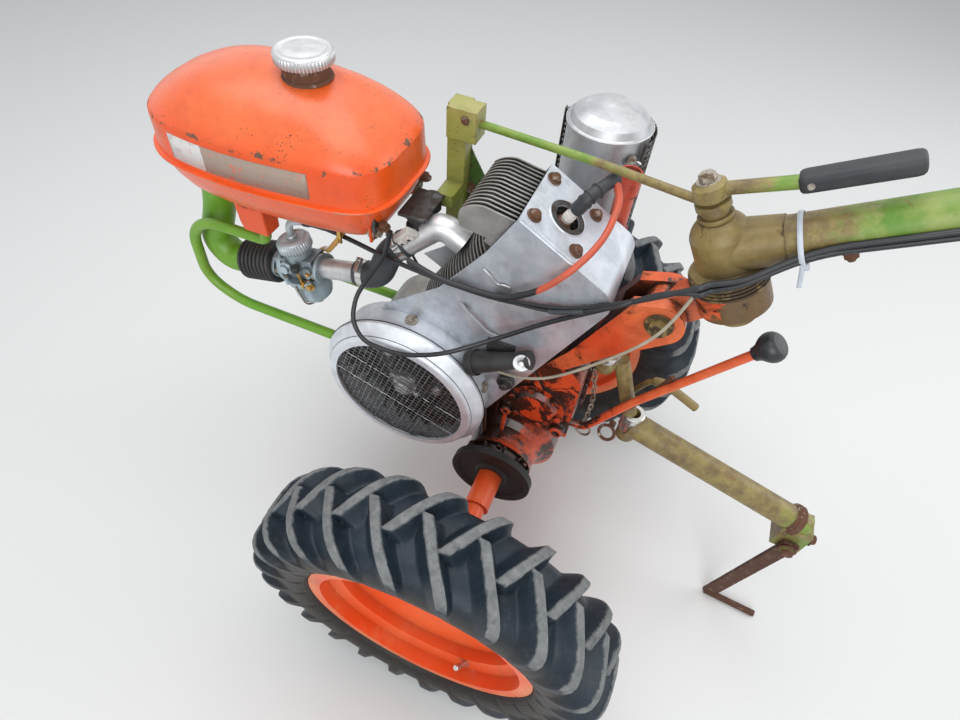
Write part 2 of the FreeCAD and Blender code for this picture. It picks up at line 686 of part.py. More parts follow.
plug_tip = from_cylinder(0, -S.cylinder_y.value, S.shroud_height.value + 22)
cylinder_way = (plug_tip - from_cylinder(0, -S.cylinder_y.value, 0)).normalize()
lead_points = [
    plug_tip, plug_tip + cylinder_way * 14, plug_tip + V(-27, -38, 24), plug_tip + V(-41, -14, 13),
    plug_tip + V(-40, 20, -10), plug_tip + V(-30, 52, -21), plug_tip + V(-13, 72, -40),
    plug_tip + V(12, 77, -71), plug_tip + V(52, 77, -101), plug_tip + V(90, 77, -105),
    plug_tip + V(141, 76, -107), plug_tip + V(186, 70, -99)]
keep(feature("IgnitionLead", swept(lead_points, 4)), "ignition_lead")


# Intake: duct, bellows, carburettor, pipe, hose and flange

carb = point(S.carburettor_x, S.intake_y, S.carburettor_z)
intake_lean = math.radians(S.intake_tilt.value)
ahead = V(math.cos(intake_lean), 0, -math.sin(intake_lean))
slide_up = V(math.sin(intake_lean), 0, math.cos(intake_lean))
bellows_foot = carb + ahead * 44
duct_foot = carb + ahead * 104
duct_top = V(duct_foot.x + 30, duct_foot.y - 16, S.tank_floor_z.value)
duct_shape = swept([
    duct_foot, duct_foot + ahead * 36, duct_foot + V(60, -2, 20), duct_top - V(-10, -4, 62), duct_top],
    S.duct_radius.value)
duct_room = Part.makeBox(200, 200, 60, V(duct_foot.x - 100, -100, S.tank_floor_z.value - 1))
keep(feature("AirDuct", duct_shape.cut(duct_room)), "air_duct")

ribs = []
for i in range(7):
    ribs.append((S.bellows_radius, i * 8.0))
    ribs.append((S.bellows_radius - 4, i * 8.0 + 4.5))
bellows = turned("Bellows", [(0, 0)] + ribs + [(S.bellows_radius - 4, 60), (0, 60)], "XZ_Plane")
place(bellows, bellows_foot.x, bellows_foot.y, bellows_foot.z, LEFT, S.intake_tilt + 90)
keep(bellows, "bellows")

carb_body = rod_between("CarbBody", carb + ahead * 44, carb - ahead * 38, 19)
carb_pieces = [carb_body]
for name, radius, height, foot in (("Pot", 18, 62, -22), ("Cap", 16, 12, 38), ("Bowl", 22, 34, -52)):
    piece = cylinder("Carb%s" % name, radius, height)
    foot_point = carb + slide_up * foot
    place(piece, foot_point.x, foot_point.y, foot_point.z, LEFT, S.intake_tilt)
    carb_pieces.append(piece)
keep(fused("Carburettor", carb_pieces), "carburettor")

pipe_start = carb - ahead * 38
pipe_end = pipe_start - ahead * 58
keep(rod_between("IntakePipe", pipe_start, pipe_end, S.intake_pipe_radius), "intake_pipe")

port_y = -S.cylinder_y.value + 12
port = from_cylinder(70.3, port_y, 236)
port_out = from_cylinder(108, port_y, 236)
elbow_end = port_out + V(42, 16, -34)
elbow_way = (elbow_end - port_out).normalize()
keep(feature("IntakeFlange", swept([port, port_out, elbow_end], 18)), "intake_flange")
hose_shape = swept([pipe_end, pipe_end - ahead * 36, elbow_end + elbow_way * 30, elbow_end],
                   S.intake_hose_radius.value)
keep(feature("IntakeHose", hose_shape), "intake_hose")


# Fuel tank, its frame and the guard tube

def tank_section(body, height, share):
    """One level outline of the tank, its plan drawn towards the middle by a share."""
    middle = (S.tank_nose_x + S.tank_tail_x) / 2
    half = S.tank_half_width
    plan = [  # from the middle: ahead, to the left, radius to the next point
        (152, half * -0.66, -115), (152, half * 0.66, -130), (58, half, -700), (-74, half * 0.96, -260),
        (-158, half * 0.70, -42), (-173, half * 0.42, -800), (-173, half * -0.42, -42),
        (-158, half * -0.70, -260),
        (-74, half * -0.96, -700), (58, -half, -130)]
    sketch = outline(body, "XY_Plane", [
        (middle + share * ahead, share * side, share * radius) for ahead, side, radius in plan])
    sketch.AttachmentOffset = FreeCAD.Placement(V(0, 0, number(height)), FreeCAD.Rotation())
    sketch.setExpression("AttachmentOffset.Base.z", words(height))
    return sketch


def tank_loft(name, shrink):
    """The tank from its floor to its domed top; shrink draws the inside in by the sheet."""
    body = new_body(name)
    slack = shrink / S.tank_half_width
    levels = [  # height, share of the plan
        (S.tank_floor_z + shrink, 0.62 - slack), (S.tank_floor_z + 7, 0.74 - slack),
        (S.tank_floor_z + 26, 0.88 - slack), (S.tank_seam_z - 8, 0.97 - slack), (S.tank_seam_z, 1.0 - slack),
        (S.tank_edge_z, 0.97 - slack), (S.tank_edge_z + 14, 0.87 - slack), (S.tank_edge_z + 30, 0.71 - slack),
        (S.tank_edge_z + 45, 0.50 - slack), (S.tank_top_z - shrink, 0.20 - slack)]
    sketches = [tank_section(body, height, share + Size(0, "0")) for height, share in levels]
    loft = body.newObject("PartDesign::AdditiveLoft", "%s_loft" % name)
    loft.Profile = sketches[0]
    loft.Sections = sketches[1:]
    loft.Ruled = True
    return body


tank_skin = tank_loft("TankSkin", Size(0, "0"))
tank_room = tank_loft("TankRoom", S.tank_sheet)
tank_lip = new_body("TankLip")
tank_section(tank_lip, S.tank_seam_z - 1, Size(1.035, "1.035"))
lip_pad = tank_lip.newObject("PartDesign::Pad", "TankLipPad")
lip_pad.Profile = doc.getObject("TankLip_sketch")
lip_pad.Length = 2.5
neck = cylinder("TankNeck", S.neck_radius, 24)
place(neck, S.cap_x, 0, S.tank_top_z - 6)
tank_outer = fused("TankOuter", [tank_skin, tank_lip, neck])
keep(cut("FuelTank", tank_outer, tank_room), "fuel_tank")

cap_foot = S.tank_top_z + 18
cap = turned("FuelCap", [
    (0, cap_foot), (S.cap_radius, cap_foot), (S.cap_radius, S.cap_top_z - 4),
    (S.cap_radius - 3, S.cap_top_z - 1), (S.cap_radius - 12, S.cap_top_z - 1),
    (S.cap_radius - 15, S.cap_top_z + 2), (0, S.cap_top_z + 3)], "XZ_Plane")
place(cap, S.cap_x, 0, 0)
keep(cap, "fuel_cap")

feet = []
for sign in (1, -1):
    front_foot = box("TankFootFront_%d" % (sign + 1), 44, 30, 90)
    place(front_foot, 358, sign * S.mount_y - 15, 597)
    feet.append(front_foot)
rear_plate = box("TankFootRear", 66, S.mount_y * 2 + 8, 24)
place(rear_plate, S.post_x - 6, -S.mount_y - 4, S.mount_z)
rear_gap = box("TankFootGap", 40, S.mount_y * 2 + 20, 40)
place(rear_gap, S.post_x - 16, -S.mount_y - 10, S.mount_z + 6)
rear_middle = box("TankFootMiddle", 80, 80, 40)
place(rear_middle, S.post_x - 10, -40, S.mount_z + 6)
rear_foot = cut("TankFeetBack", rear_plate, fused("TankFeetGaps", [rear_gap, rear_middle]))
feet_raw = fused("TankFeetRaw", feet + [rear_foot])
keep(cut("TankFeet", cut("TankFeetSeat", feet_raw, tank_skin), tank_lip), "tank_feet")

post_length = S.post_top_z - S.crank_z - 60
post = box("PostTube", S.post_size, S.post_size, post_length)
place(post, S.post_x - S.post_size / 2, -S.post_y - S.post_size / 2, S.crank_z + 60)
post_head = box("PostHead", 40, 30, 40)
place(post_head, S.post_x - 30, -S.post_y - 8, S.post_top_z - 40)
post_foot = box("PostFoot", 70, 30, 24)
place(post_foot, S.post_x - 30, -S.post_y - 15, S.crank_z + 40)
post_arm = box("PostArm", 24, S.post_y - 40, 18)
place(post_arm, S.post_x - 12, -S.post_y, S.mount_z - 18)
post_all = fused("PostAll", [post, post_head, post_foot, post_arm])
keep(cut("FramePost", post_all, doc.getObject("Crankcase")), "frame_post")

hoop_top = 597
hoop_ends = {1: S.crank_x.value + 112, -1: S.crank_x.value + 76}
hoops = []
for sign in (1, -1):
    y = sign * S.guard_y.value
    top = V(380, y, hoop_top)
    nose = S.tank_nose_x.value
    hoop_points = [top, top + V(0, 0, -24), V(nose - 12, y, hoop_top - 30), V(nose - 6, y, hoop_top - 150),
                   V(nose - 60, y, hoop_top - 182), V(hoop_ends[sign], y, hoop_top - 184)]
    hoops.append(swept(hoop_points, S.guard_tube_radius.value))
doc.recompute()
drum_back = V(S.crank_x.value, back.value, S.crank_z.value)
drum_solid = Part.makeCylinder(S.fan_drum_radius.value, 80, drum_back, LEFT)
hoop_shape = hoops[0].cut(drum_solid).fuse(hoops[1].cut(doc.getObject("Crankcase").Shape))
keep(feature("GuardHoop", hoop_shape), "guard_hoop")


# Exhaust

wall = 2
muffler = turned("Muffler", [
    (0, S.muffler_foot_z), (S.muffler_radius - 6, S.muffler_foot_z), (S.muffler_radius, S.muffler_foot_z + 8),
    (S.muffler_radius, S.muffler_seam_z - 4), (S.muffler_radius + 2, S.muffler_seam_z - 3),
    (S.muffler_radius + 2, S.muffler_seam_z), (S.muffler_radius - 2, S.muffler_seam_z + 2),
    (S.muffler_radius - 6, S.muffler_top_z - 13), (S.muffler_radius - 18, S.muffler_top_z - 5),
    (0, S.muffler_top_z),
    (0, S.muffler_top_z - wall), (S.muffler_radius - 19, S.muffler_top_z - 5 - wall),
    (S.muffler_radius - 8, S.muffler_seam_z + 4), (S.muffler_radius - wall, S.muffler_seam_z - 6),
    (S.muffler_radius - wall, S.muffler_foot_z + 9), (S.muffler_radius - 7, S.muffler_foot_z + wall),
    (0, S.muffler_foot_z + wall)], "XZ_Plane")
place(muffler, S.muffler_x, -S.muffler_y, 0)
keep(muffler, "muffler")

guard_radius = S.muffler_radius.value + S.guard_gap.value
guard_height = S.muffler_seam_z.value - S.muffler_foot_z.value - 42
guard_foot = V(0, 0, S.muffler_foot_z.value + 40)
guard_shell = Part.makeCylinder(guard_radius + 1.5, guard_height, guard_foot, UP, 210)
guard_shell = guard_shell.cut(Part.makeCylinder(guard_radius, guard_height, guard_foot, UP, 360))
stays = []
for turn, height in ((30, 24), (105, 24), (180, 24), (30, 118), (105, 118), (180, 118)):
    stay_foot = V(S.muffler_radius.value, 0, guard_foot.z + height)
    stay = Part.makeCylinder(5, S.guard_gap.value + 1, stay_foot, V(1, 0, 0))
    stay.rotate(V(0, 0, 0), UP, turn)
    stays.append(stay)
guard_shape = guard_shell.fuse(stays).cut(Part.makeCylinder(S.muffler_radius.value, 400, V(0, 0, 500)))
guard = feature("MufflerGuard", guard_shape)
place(guard, S.muffler_x, -S.muffler_y, 0, UP, 150)
keep(guard, "muffler_guard")

outlet = from_cylinder(-20, -S.cylinder_y.value - 52, 235)
muffler_side = point(S.muffler_x, -S.muffler_y + S.muffler_radius, S.muffler_foot_z + 34)
exhaust_shape = swept(
    [outlet, outlet + V(0, -36, 0), muffler_side + V(0, 6, 0), muffler_side + V(0, -20, 0)], 16, 24)
doc.recompute()
muffler_foot = point(S.muffler_x, -S.muffler_y, S.muffler_foot_z)
muffler_solid = Part.makeCylinder(S.muffler_radius.value, 250, muffler_foot)
keep(feature("ExhaustPipe", exhaust_shape.cut([muffler_solid, barrel.Shape])), "exhaust_pipe")


# Handlebar column

tilt = math.radians(S.pivot_tilt.value)
axis_up = V(math.sin(tilt), 0, math.cos(tilt))
pivot = point(S.pivot_x, 0, S.pivot_z)


def on_pivot(obj):
    return place(obj, S.pivot_x, 0, S.pivot_z, LEFT, S.pivot_tilt)


ring_top = -32.0
ring_foot = -76.0
ear = point(S.ear_x, 0, S.ear_z)
arm = padded("ColumnArm", "XZ_Plane", [
    (30 - S.gearbox_rear_x, S.gearbox_top_z), (-36, S.gearbox_top_z), (-62, S.gearbox_top_z + 40),
    (-118, S.ear_z + 18),
    (S.ear_x + 8, S.ear_z + S.ear_radius - 2, -30), (S.ear_x - 27, S.ear_z + 14, -30),
    (S.ear_x - 20, S.ear_z - 22), (-116, 548)], 66, both_sides=True)
doc.recompute()
slot = Part.makeBox(120, 31, 140, V(S.ear_x.value - 70, -15.5, S.ear_z.value - 42))
arm_shape = arm.Shape.cut(slot)
knuckle_ring = Part.makeCylinder(S.pivot_ring_radius.value, ring_top - ring_foot, V(0, 0, ring_foot))
knuckle_ring.Placement = FreeCAD.Placement(pivot, FreeCAD.Rotation(UP, axis_up))
tongue = Part.makeCylinder(26, 30, ear + V(0, -15, 0), V(0, 1, 0))
ring_middle = pivot + axis_up * ((ring_top + ring_foot) / 2)
link_way = ring_middle - ear
link = Part.makeBox(40, 30, link_way.Length, V(-20, -15, 0))
link.Placement = FreeCAD.Placement(ear, FreeCAD.Rotation(UP, link_way))
pivot_bore = Part.makeCylinder(S.pivot_radius.value + 0.05, 200, V(0, 0, -150))
pivot_bore.Placement = knuckle_ring.Placement
above_ring = Part.makeCylinder(90, 200, V(0, 0, ring_top))
above_ring.Placement = knuckle_ring.Placement
knuckle_shape = knuckle_ring.fuse([tongue, link]).cut([pivot_bore, above_ring]).cut(arm_shape)
knuckle = feature("ColumnKnuckle", knuckle_shape)
keep(knuckle, "column_knuckle")
ring_room = Part.makeCylinder(S.pivot_ring_radius.value + 4, 120, V(0, 0, ring_foot - 30))
ring_room.Placement = knuckle_ring.Placement
hitch_hole = Part.makeCylinder(8.2, 62, V(-112, 0, 500))
column = feature("ColumnBracket", arm_shape.cut([ring_room, hitch_hole]))
keep(column, "column_bracket")

elbow_body = turned("ElbowBarrel", [
    (0, -96), (S.pivot_radius, -96), (S.pivot_radius, ring_top + 0.3), (S.elbow_radius + 8, ring_top + 0.3),
    (S.elbow_radius + 8, ring_top + 8), (S.elbow_radius, ring_top + 12), (S.elbow_radius, 18, -26),
    (14, 38), (14, 46), (12, 50), (12, 60), (0, 60)], "XZ_Plane")
on_pivot(elbow_body)
rise = math.radians(S.handle_rise.value)
tube_way = V(-math.cos(rise), 0, math.sin(rise))
socket = doc.addObject("Part::Cone", "ElbowSocket")
socket.Radius1 = 30
bind(socket, "Radius2", S.handle_tube_radius + 1.5)
socket.Height = 62
socket.Placement = FreeCAD.Placement(pivot, FreeCAD.Rotation(UP, tube_way))
keep(fused("Elbow", [elbow_body, socket]), "handlebar_elbow")

tube_start = pivot + tube_way * 62
tube_bend = pivot + tube_way * 330
tube_end = V(-700, 0, tube_bend.z + 30)
tube_shape = swept([tube_start, tube_bend, tube_end], S.handle_tube_radius.value, 150)
keep(feature("HandlebarTube", tube_shape), "handlebar_tube")

bar_root = tube_end + V(-S.bar_radius.value, 0, 0)
half_bar = [V(S.grip_end_x.value, S.grip_y.value, S.grip_z.value),
            V(-790, S.grip_y.value, S.grip_z.value - 12),
            bar_root + V(-20, 150, 0), bar_root + V(0, 60, 0)]
bar_points = half_bar + [V(p.x, -p.y, p.z) for p in reversed(half_bar)]
bar = feature("HandleBar", swept(bar_points, S.bar_radius.value, 60))
doc.recompute()
tube_obj = doc.getObject("HandlebarTube")
bar.Shape = bar.Shape.cut(tube_obj.Shape)
keep(bar, "handle_bar")

grip_shapes = []
for sign in (1, -1):
    start = V(S.grip_end_x.value - 6, sign * S.grip_y.value, S.grip_z.value)
    way = V(115, 0, -12)
    grip = Part.makeCylinder(S.grip_radius.value, 115, start, way)
    grip_shapes.append(grip.cut(bar.Shape))
keep(feature("Grips", grip_shapes[0].fuse(grip_shapes[1])), "grips")

lever_root = pivot + axis_up * 70
lever_elbow = V(-228, 0, 826)
lever_bar = rod_between("LockLeverBar", lever_root, lever_elbow, 7)
lever_boss = turned("LockLeverBoss", [(0, 60), (17, 62), (17, 76), (12, 80), (0, 80)], "XZ_Plane")
on_pivot(lever_boss)
keep(fused("LockLever", [lever_bar, lever_boss]), "lock_lever")
lock_grip = rod_between("LockGripRod", lever_elbow + V(4, 0, -2), lever_elbow + V(-80, 0, 46), 12)
keep(cut("LockGrip", lock_grip, doc.getObject("LockLever")), "lock_lever_grip")


# Hand levers under the grips

lever_shapes = []
for sign in (1, -1):
    y = sign * S.grip_y.value
    ring = Part.makeCylinder(S.bar_radius.value + 5, 20, V(-788, y, S.grip_z.value - 12.2), V(115, 0, -12))
    blade = swept([V(-776, y, S.grip_z.value - 20), V(-790, y, S.grip_z.value - 42),
                   V(-830, y + sign * 2, S.grip_z.value - 52),
                   V(-903, y + sign * 6, S.grip_z.value - 44)], 5, 12)
    lever_shapes.append(ring.fuse(blade).cut(bar.Shape))
keep(feature("HandLevers", lever_shapes[0].fuse(lever_shapes[1])), "hand_levers")


# Control cables: the front lengths end beside the swing axis, where the rear ones start

cable_radius = 3.2
front_end = V(-178, 51, 712)
second = axis_up * -8
clutch_front = [
    V(184, 56, S.mount_z.value - 0.3), V(192, 60, 618), V(216, 68, 576), V(228, 84, 552), V(226, 104, 524),
    V(204, 116, 504), V(150, 116, 502), V(91, 108, 524), V(30, 72, 549), V(-30, 58, 596), V(-100, 55, 652),
    V(-150, 52, 694), front_end + second]
throttle_front = [
    V(363, 30, 563.3), V(362, 30, 590), V(330, 30, 603), V(270, 36, 604), V(190, 50, 604), V(128, 57, 606),
    V(33, 57, 604), V(-60, 57, 629), V(-122, 54, 670), front_end]
keep(feature("FrontCables", swept(clutch_front, cable_radius).fuse(swept(throttle_front, cable_radius))),
     "front_cables")

rear_start = V(-186, 46, 716)
beside = V(0, S.handle_tube_radius.value + 3, 0)
shared = [V(-214, 44, 731), V(-264, 0, 778) + beside, tube_bend + beside, V(-672, 0, tube_end.z - 9) + beside]
clutch_rear = [rear_start + second] + [p + V(0, 0, -7) for p in shared] + [
    V(-724, 78, tube_end.z - 21), V(-742, 150, tube_end.z - 21),
    V(-779, S.grip_y.value - 8, S.grip_z.value - 34)]
throttle_rear = [rear_start] + shared + [
    V(-702, 8, tube_end.z - 31), V(-728, -70, tube_end.z - 25), V(-745, -150, tube_end.z - 21),
    V(-779, 8 - S.grip_y.value, S.grip_z.value - 34)]
rear_pair = swept(clutch_rear, cable_radius).fuse(swept(throttle_rear, cable_radius))
keep(feature("RearCables", rear_pair.cut([tube_obj.Shape] + lever_shapes)), "rear_cables")


# Rods, tower and gear lever

rod_start = point(S.post_x - 30, -S.post_y + 6, S.post_top_z - 20)
eye_middle = pivot + axis_up * 53
eye_edge = eye_middle + V(14, -8, -5)
rod_shape = swept([rod_start, V(-30, -50, S.post_top_z.value - 8), eye_edge], 5, 400)
eye = Part.makeCylinder(18, 7, V(0, 0, 50.5))
eye_bore = Part.makeCylinder(12.3, 30, V(0, 0, 45))
for ring in (eye, eye_bore):
    ring.Placement = knuckle_ring.Placement
post_solid = Part.makeBox(44, 34, 44, point(S.post_x - 30, -S.post_y - 10, S.post_top_z - 42))
keep(feature("ControlRod", rod_shape.fuse(eye).cut([eye_bore, post_solid])), "control_rod")

tower = cylinder("TowerTube", 12, 728 - S.gearbox_top_z)
place(tower, -66, -86, S.gearbox_top_z)
tower_flank = box("TowerFlank", 16, 26, 130)
place(tower_flank, -74, -98, S.gearbox_top_z)
keep(fused("Tower", [tower, tower_flank]), "selector_tower")

lever_foot = V(-S.gearbox_rear_x.value, 22, 362)
knob = V(-272, 22, 624)
lever_way = (knob - V(-166, 21, 458)).normalize()
lever_shape = swept([lever_foot, lever_foot + V(-22, 0, 0), V(-166, 21, 458), knob], 6, 26)
keep(feature("GearLever", lever_shape), "gear_lever")
ball = turned("KnobTurned", [
    (0, -6), (9, -6), (10, 2), (16, 8), (18.5, 15), (17.5, 22), (12, 28), (0, 30)], "XZ_Plane")
ball.Placement = FreeCAD.Placement(knob, FreeCAD.Rotation(UP, lever_way))
keep(cut("GearKnob", ball, doc.getObject("GearLever")), "gear_knob")


# Drawbar, hitch pin and prop leg

neck_top = V(-112, 0, 508)
neck_foot = V(-176, 0, 388)
bar_start = V(-176, 0, 384)
bar_end = point(S.drawbar_end_x, 0, S.drawbar_end_z)
hitch_eye = cylinder("HitchEye", 17, 26)
place(hitch_eye, neck_top.x, 0, neck_top.z - 13)
hitch_pin = turned("HitchPin", [
    (0, neck_top.z - 24), (13, neck_top.z - 24), (13, neck_top.z - 14), (8, neck_top.z - 14),
    (8, neck_top.z + 14), (11.8, neck_top.z + 14), (11.8, neck_top.z + 22), (8, neck_top.z + 22),
    (8, 562), (0, 562)], "XZ_Plane")
place(hitch_pin, neck_top.x, 0, 0)
keep(hitch_pin, "hitch_pin")
neck_tube = rod_between("NeckTube", neck_top + V(-19, 0, 4), neck_foot, S.neck_tube_radius)
sleeve = cylinder("DrawbarSleeve", 15, 56)
place(sleeve, bar_start.x, 0, bar_start.z - 32)
long_tube = rod_between("LongTube", bar_start, bar_end, S.drawbar_radius)
end_lug = box("EndLug", 44, 42, 52)
place(end_lug, S.leg_pivot_x - 22, -20, S.leg_pivot_z - 16)
leg_pin = turned("LegPin", [(0, -10), (6, -10), (6, 32), (10, 32), (10, 37), (0, 37)])
place(leg_pin, S.leg_pivot_x, 0, S.leg_pivot_z)
drawbar_whole = fused("DrawbarWhole", [hitch_eye, neck_tube, sleeve, long_tube, end_lug, leg_pin])
sleeve_bore = cylinder("SleeveBore", 10, 60)
place(sleeve_bore, bar_start.x, 0, bar_start.z - 34)
pin_hole = cylinder("PinHole", 8.2, 60)
place(pin_hole, neck_top.x, 0, neck_top.z - 30)
drawbar_bored = cut("DrawbarBored", drawbar_whole, sleeve_bore)
keep(cut("Drawbar", drawbar_bored, pin_hole), "drawbar")

leg_pivot = point(S.leg_pivot_x, 0, S.leg_pivot_z)
leg_low = V(-434, 0, 14)
leg_way = leg_low - leg_pivot
leg_corner = V(-S.leg_bar.value / 2, S.leg_y.value, -12)
leg_bar = Part.makeBox(S.leg_bar.value, S.leg_thick.value, leg_way.Length + 18, leg_corner)
leg_bar.Placement = FreeCAD.Placement(leg_pivot, FreeCAD.Rotation(UP, leg_way))
foot_start = V(leg_low.x + 8, S.leg_y.value + S.leg_thick.value / 2, S.foot_radius.value)
foot_end = V(-518, S.leg_y.value + 10, S.foot_radius.value)
foot_way = foot_end - foot_start
foot = Part.makeCylinder(S.foot_radius.value, foot_way.Length, foot_start, foot_way)
below = Part.makeBox(400, 200, 50, V(-600, -100, -50))
leg_hole = Part.makeCylinder(6.05, 60, leg_pivot, LEFT)
keep(feature("PropLeg", leg_bar.fuse(foot).cut([below, leg_hole]).removeSplitter()), "prop_leg")


# Build, test and write each sub-part

doc.recompute()
for obj in doc.Objects:
    if "Invalid" in obj.State or "Error" in obj.State:
        raise SystemExit("%s failed: %s" % (obj.Label, obj.State))
os.makedirs("parts", exist_ok=True)
for obj in parts:
    if obj.Shape.isNull() or not obj.Shape.isValid():
        raise SystemExit("%s has no valid shape" % obj.Label)
    obj.Shape.exportStep("parts/%s.step" % obj.Label)
    print("%-20s solids %d volume %.0f" % (obj.Label, len(obj.Shape.Solids), obj.Shape.Volume))
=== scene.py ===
import math
import random

import bmesh
import bpy
from mathutils import Matrix, Quaternion, Vector


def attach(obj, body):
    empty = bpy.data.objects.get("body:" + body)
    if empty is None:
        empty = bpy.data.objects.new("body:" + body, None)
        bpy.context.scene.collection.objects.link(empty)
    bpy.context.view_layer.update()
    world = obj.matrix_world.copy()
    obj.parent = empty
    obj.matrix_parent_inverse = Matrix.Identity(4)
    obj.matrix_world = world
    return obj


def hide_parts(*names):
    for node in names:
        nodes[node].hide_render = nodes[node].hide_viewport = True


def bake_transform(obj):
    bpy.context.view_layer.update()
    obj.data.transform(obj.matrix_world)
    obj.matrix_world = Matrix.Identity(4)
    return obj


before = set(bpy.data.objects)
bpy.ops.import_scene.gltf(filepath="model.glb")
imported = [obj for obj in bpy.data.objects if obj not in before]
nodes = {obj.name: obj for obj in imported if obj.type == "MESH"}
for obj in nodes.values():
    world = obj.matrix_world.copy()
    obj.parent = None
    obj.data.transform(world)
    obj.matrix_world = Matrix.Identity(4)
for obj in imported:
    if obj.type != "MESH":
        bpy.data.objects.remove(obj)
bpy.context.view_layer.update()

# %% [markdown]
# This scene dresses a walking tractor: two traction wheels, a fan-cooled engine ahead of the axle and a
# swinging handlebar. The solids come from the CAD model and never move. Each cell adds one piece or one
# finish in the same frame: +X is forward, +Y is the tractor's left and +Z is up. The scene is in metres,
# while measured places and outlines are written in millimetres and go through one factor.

chance = random.Random(7)
MM = 0.001
AXLE_HEIGHT = 262  # millimetres above the floor
LEFT = (0, 1, 0)

# %% [markdown]
# The camera comes first, because everything is seen through it. A photo taken from standing height looks
# steeply down, so the lens is short and the camera is turned a little about its own axis. It could be aimed
# at a target object, but a direction and a roll say the same with two values.

# %% Camera at the photograph's place
photo_camera = bpy.data.cameras.new("photo_camera")
photo_camera.lens = 22.56
photo_camera.sensor_width = 36
photo_camera.clip_start = 0.02
camera = bpy.data.objects.new("photo_camera", photo_camera)
camera.location = (-0.1169, 0.5654, 1.1376)
look = Vector((0.1995, -0.5976, -0.7766))
roll = Quaternion((0, 0, 1), math.radians(5.35))
camera.rotation_mode = "QUATERNION"
camera.rotation_quaternion = look.to_track_quat("-Z", "Y") @ roll
bpy.context.scene.collection.objects.link(camera)
bpy.context.scene.camera = camera
print("camera height", camera.location.z)

# %% [markdown]
# The studio is one pale floor, a white world and three large lamps. Soft light shows worn paint as it is, and
# large lamps draw long highlights on the sheet metal. The world is white only where a camera ray or a
# reflection meets it, so the background is clean and the object isn't washed out.

# %% Floor, world and lamps
def flat_material(name, colour, roughness):
    """A plain material for what isn't part of the object."""
    material = bpy.data.materials.new(name)
    material.use_nodes = True
    shader = material.node_tree.nodes["Principled BSDF"]
    shader.inputs["Base Color"].default_value = (*colour, 1)
    shader.inputs["Roughness"].default_value = roughness
    return material


bpy.ops.mesh.primitive_plane_add(size=14, location=(0, 0, 0))
floor = bpy.context.object
floor.name = "studio_floor"
floor.data.materials.append(flat_material("studio_floor", (0.80, 0.80, 0.79), 0.85))

world = bpy.data.worlds.new("studio")
world.use_nodes = True
bpy.context.scene.world = world
sky = world.node_tree
backdrop = sky.nodes["Background"]
soft = sky.nodes.new("ShaderNodeBackground")
choose = sky.nodes.new("ShaderNodeMixShader")
for light, colour, strength in ((soft, (0.90, 0.95, 1.0, 1), 0.42), (backdrop, (1, 1, 1, 1), 1.0)):
    light.inputs["Color"].default_value = colour
    light.inputs["Strength"].default_value = strength
rays = sky.nodes.new("ShaderNodeLightPath").outputs
seen = rays["Is Camera Ray"]
for kind in ("Is Glossy Ray", "Is Transmission Ray"):
    either = sky.nodes.new("ShaderNodeMath")
    either.operation = "MAXIMUM"
    sky.links.new(seen, either.inputs[0])
    sky.links.new(rays[kind], either.inputs[1])
    seen = either.outputs[0]
surface = sky.nodes["World Output"].inputs["Surface"]
for source, socket in ((seen, choose.inputs["Fac"]), (soft.outputs[0], choose.inputs[1]),
                       (backdrop.outputs[0], choose.inputs[2]), (choose.outputs[0], surface)):
    sky.links.new(source, socket)

LAMPS = [  # name, place, size, watts
    ("lamp_above", (0.4, -0.3, 2.9), 2.6, 46),
    ("lamp_left", (-0.6, 2.6, 1.9), 2.0, 46),
    ("lamp_behind", (-2.3, -1.2, 1.7), 1.8, 22),
]
for name, place, size, watts in LAMPS:
    lamp = bpy.data.lights.new(name, "AREA")
    lamp.size = size
    lamp.energy = watts
    holder = bpy.data.objects.new(name, lamp)
    holder.location = place
    holder.rotation_euler = (Vector((0, 0, 0.45)) - Vector(place)).to_track_quat("-Z", "Y").to_euler()
    bpy.context.scene.collection.objects.link(holder)
bpy.context.scene.view_settings.view_transform = "Standard"
print("lamps", len(LAMPS))

# %% [markdown]
# Every finish is a small recipe of noise, so a helper class keeps the recipes short. Its coordinates are the
# object's own, in metres: the pattern stays on a piece when a joint moves it, and a scale of 100 means grains
# of about a centimetre.

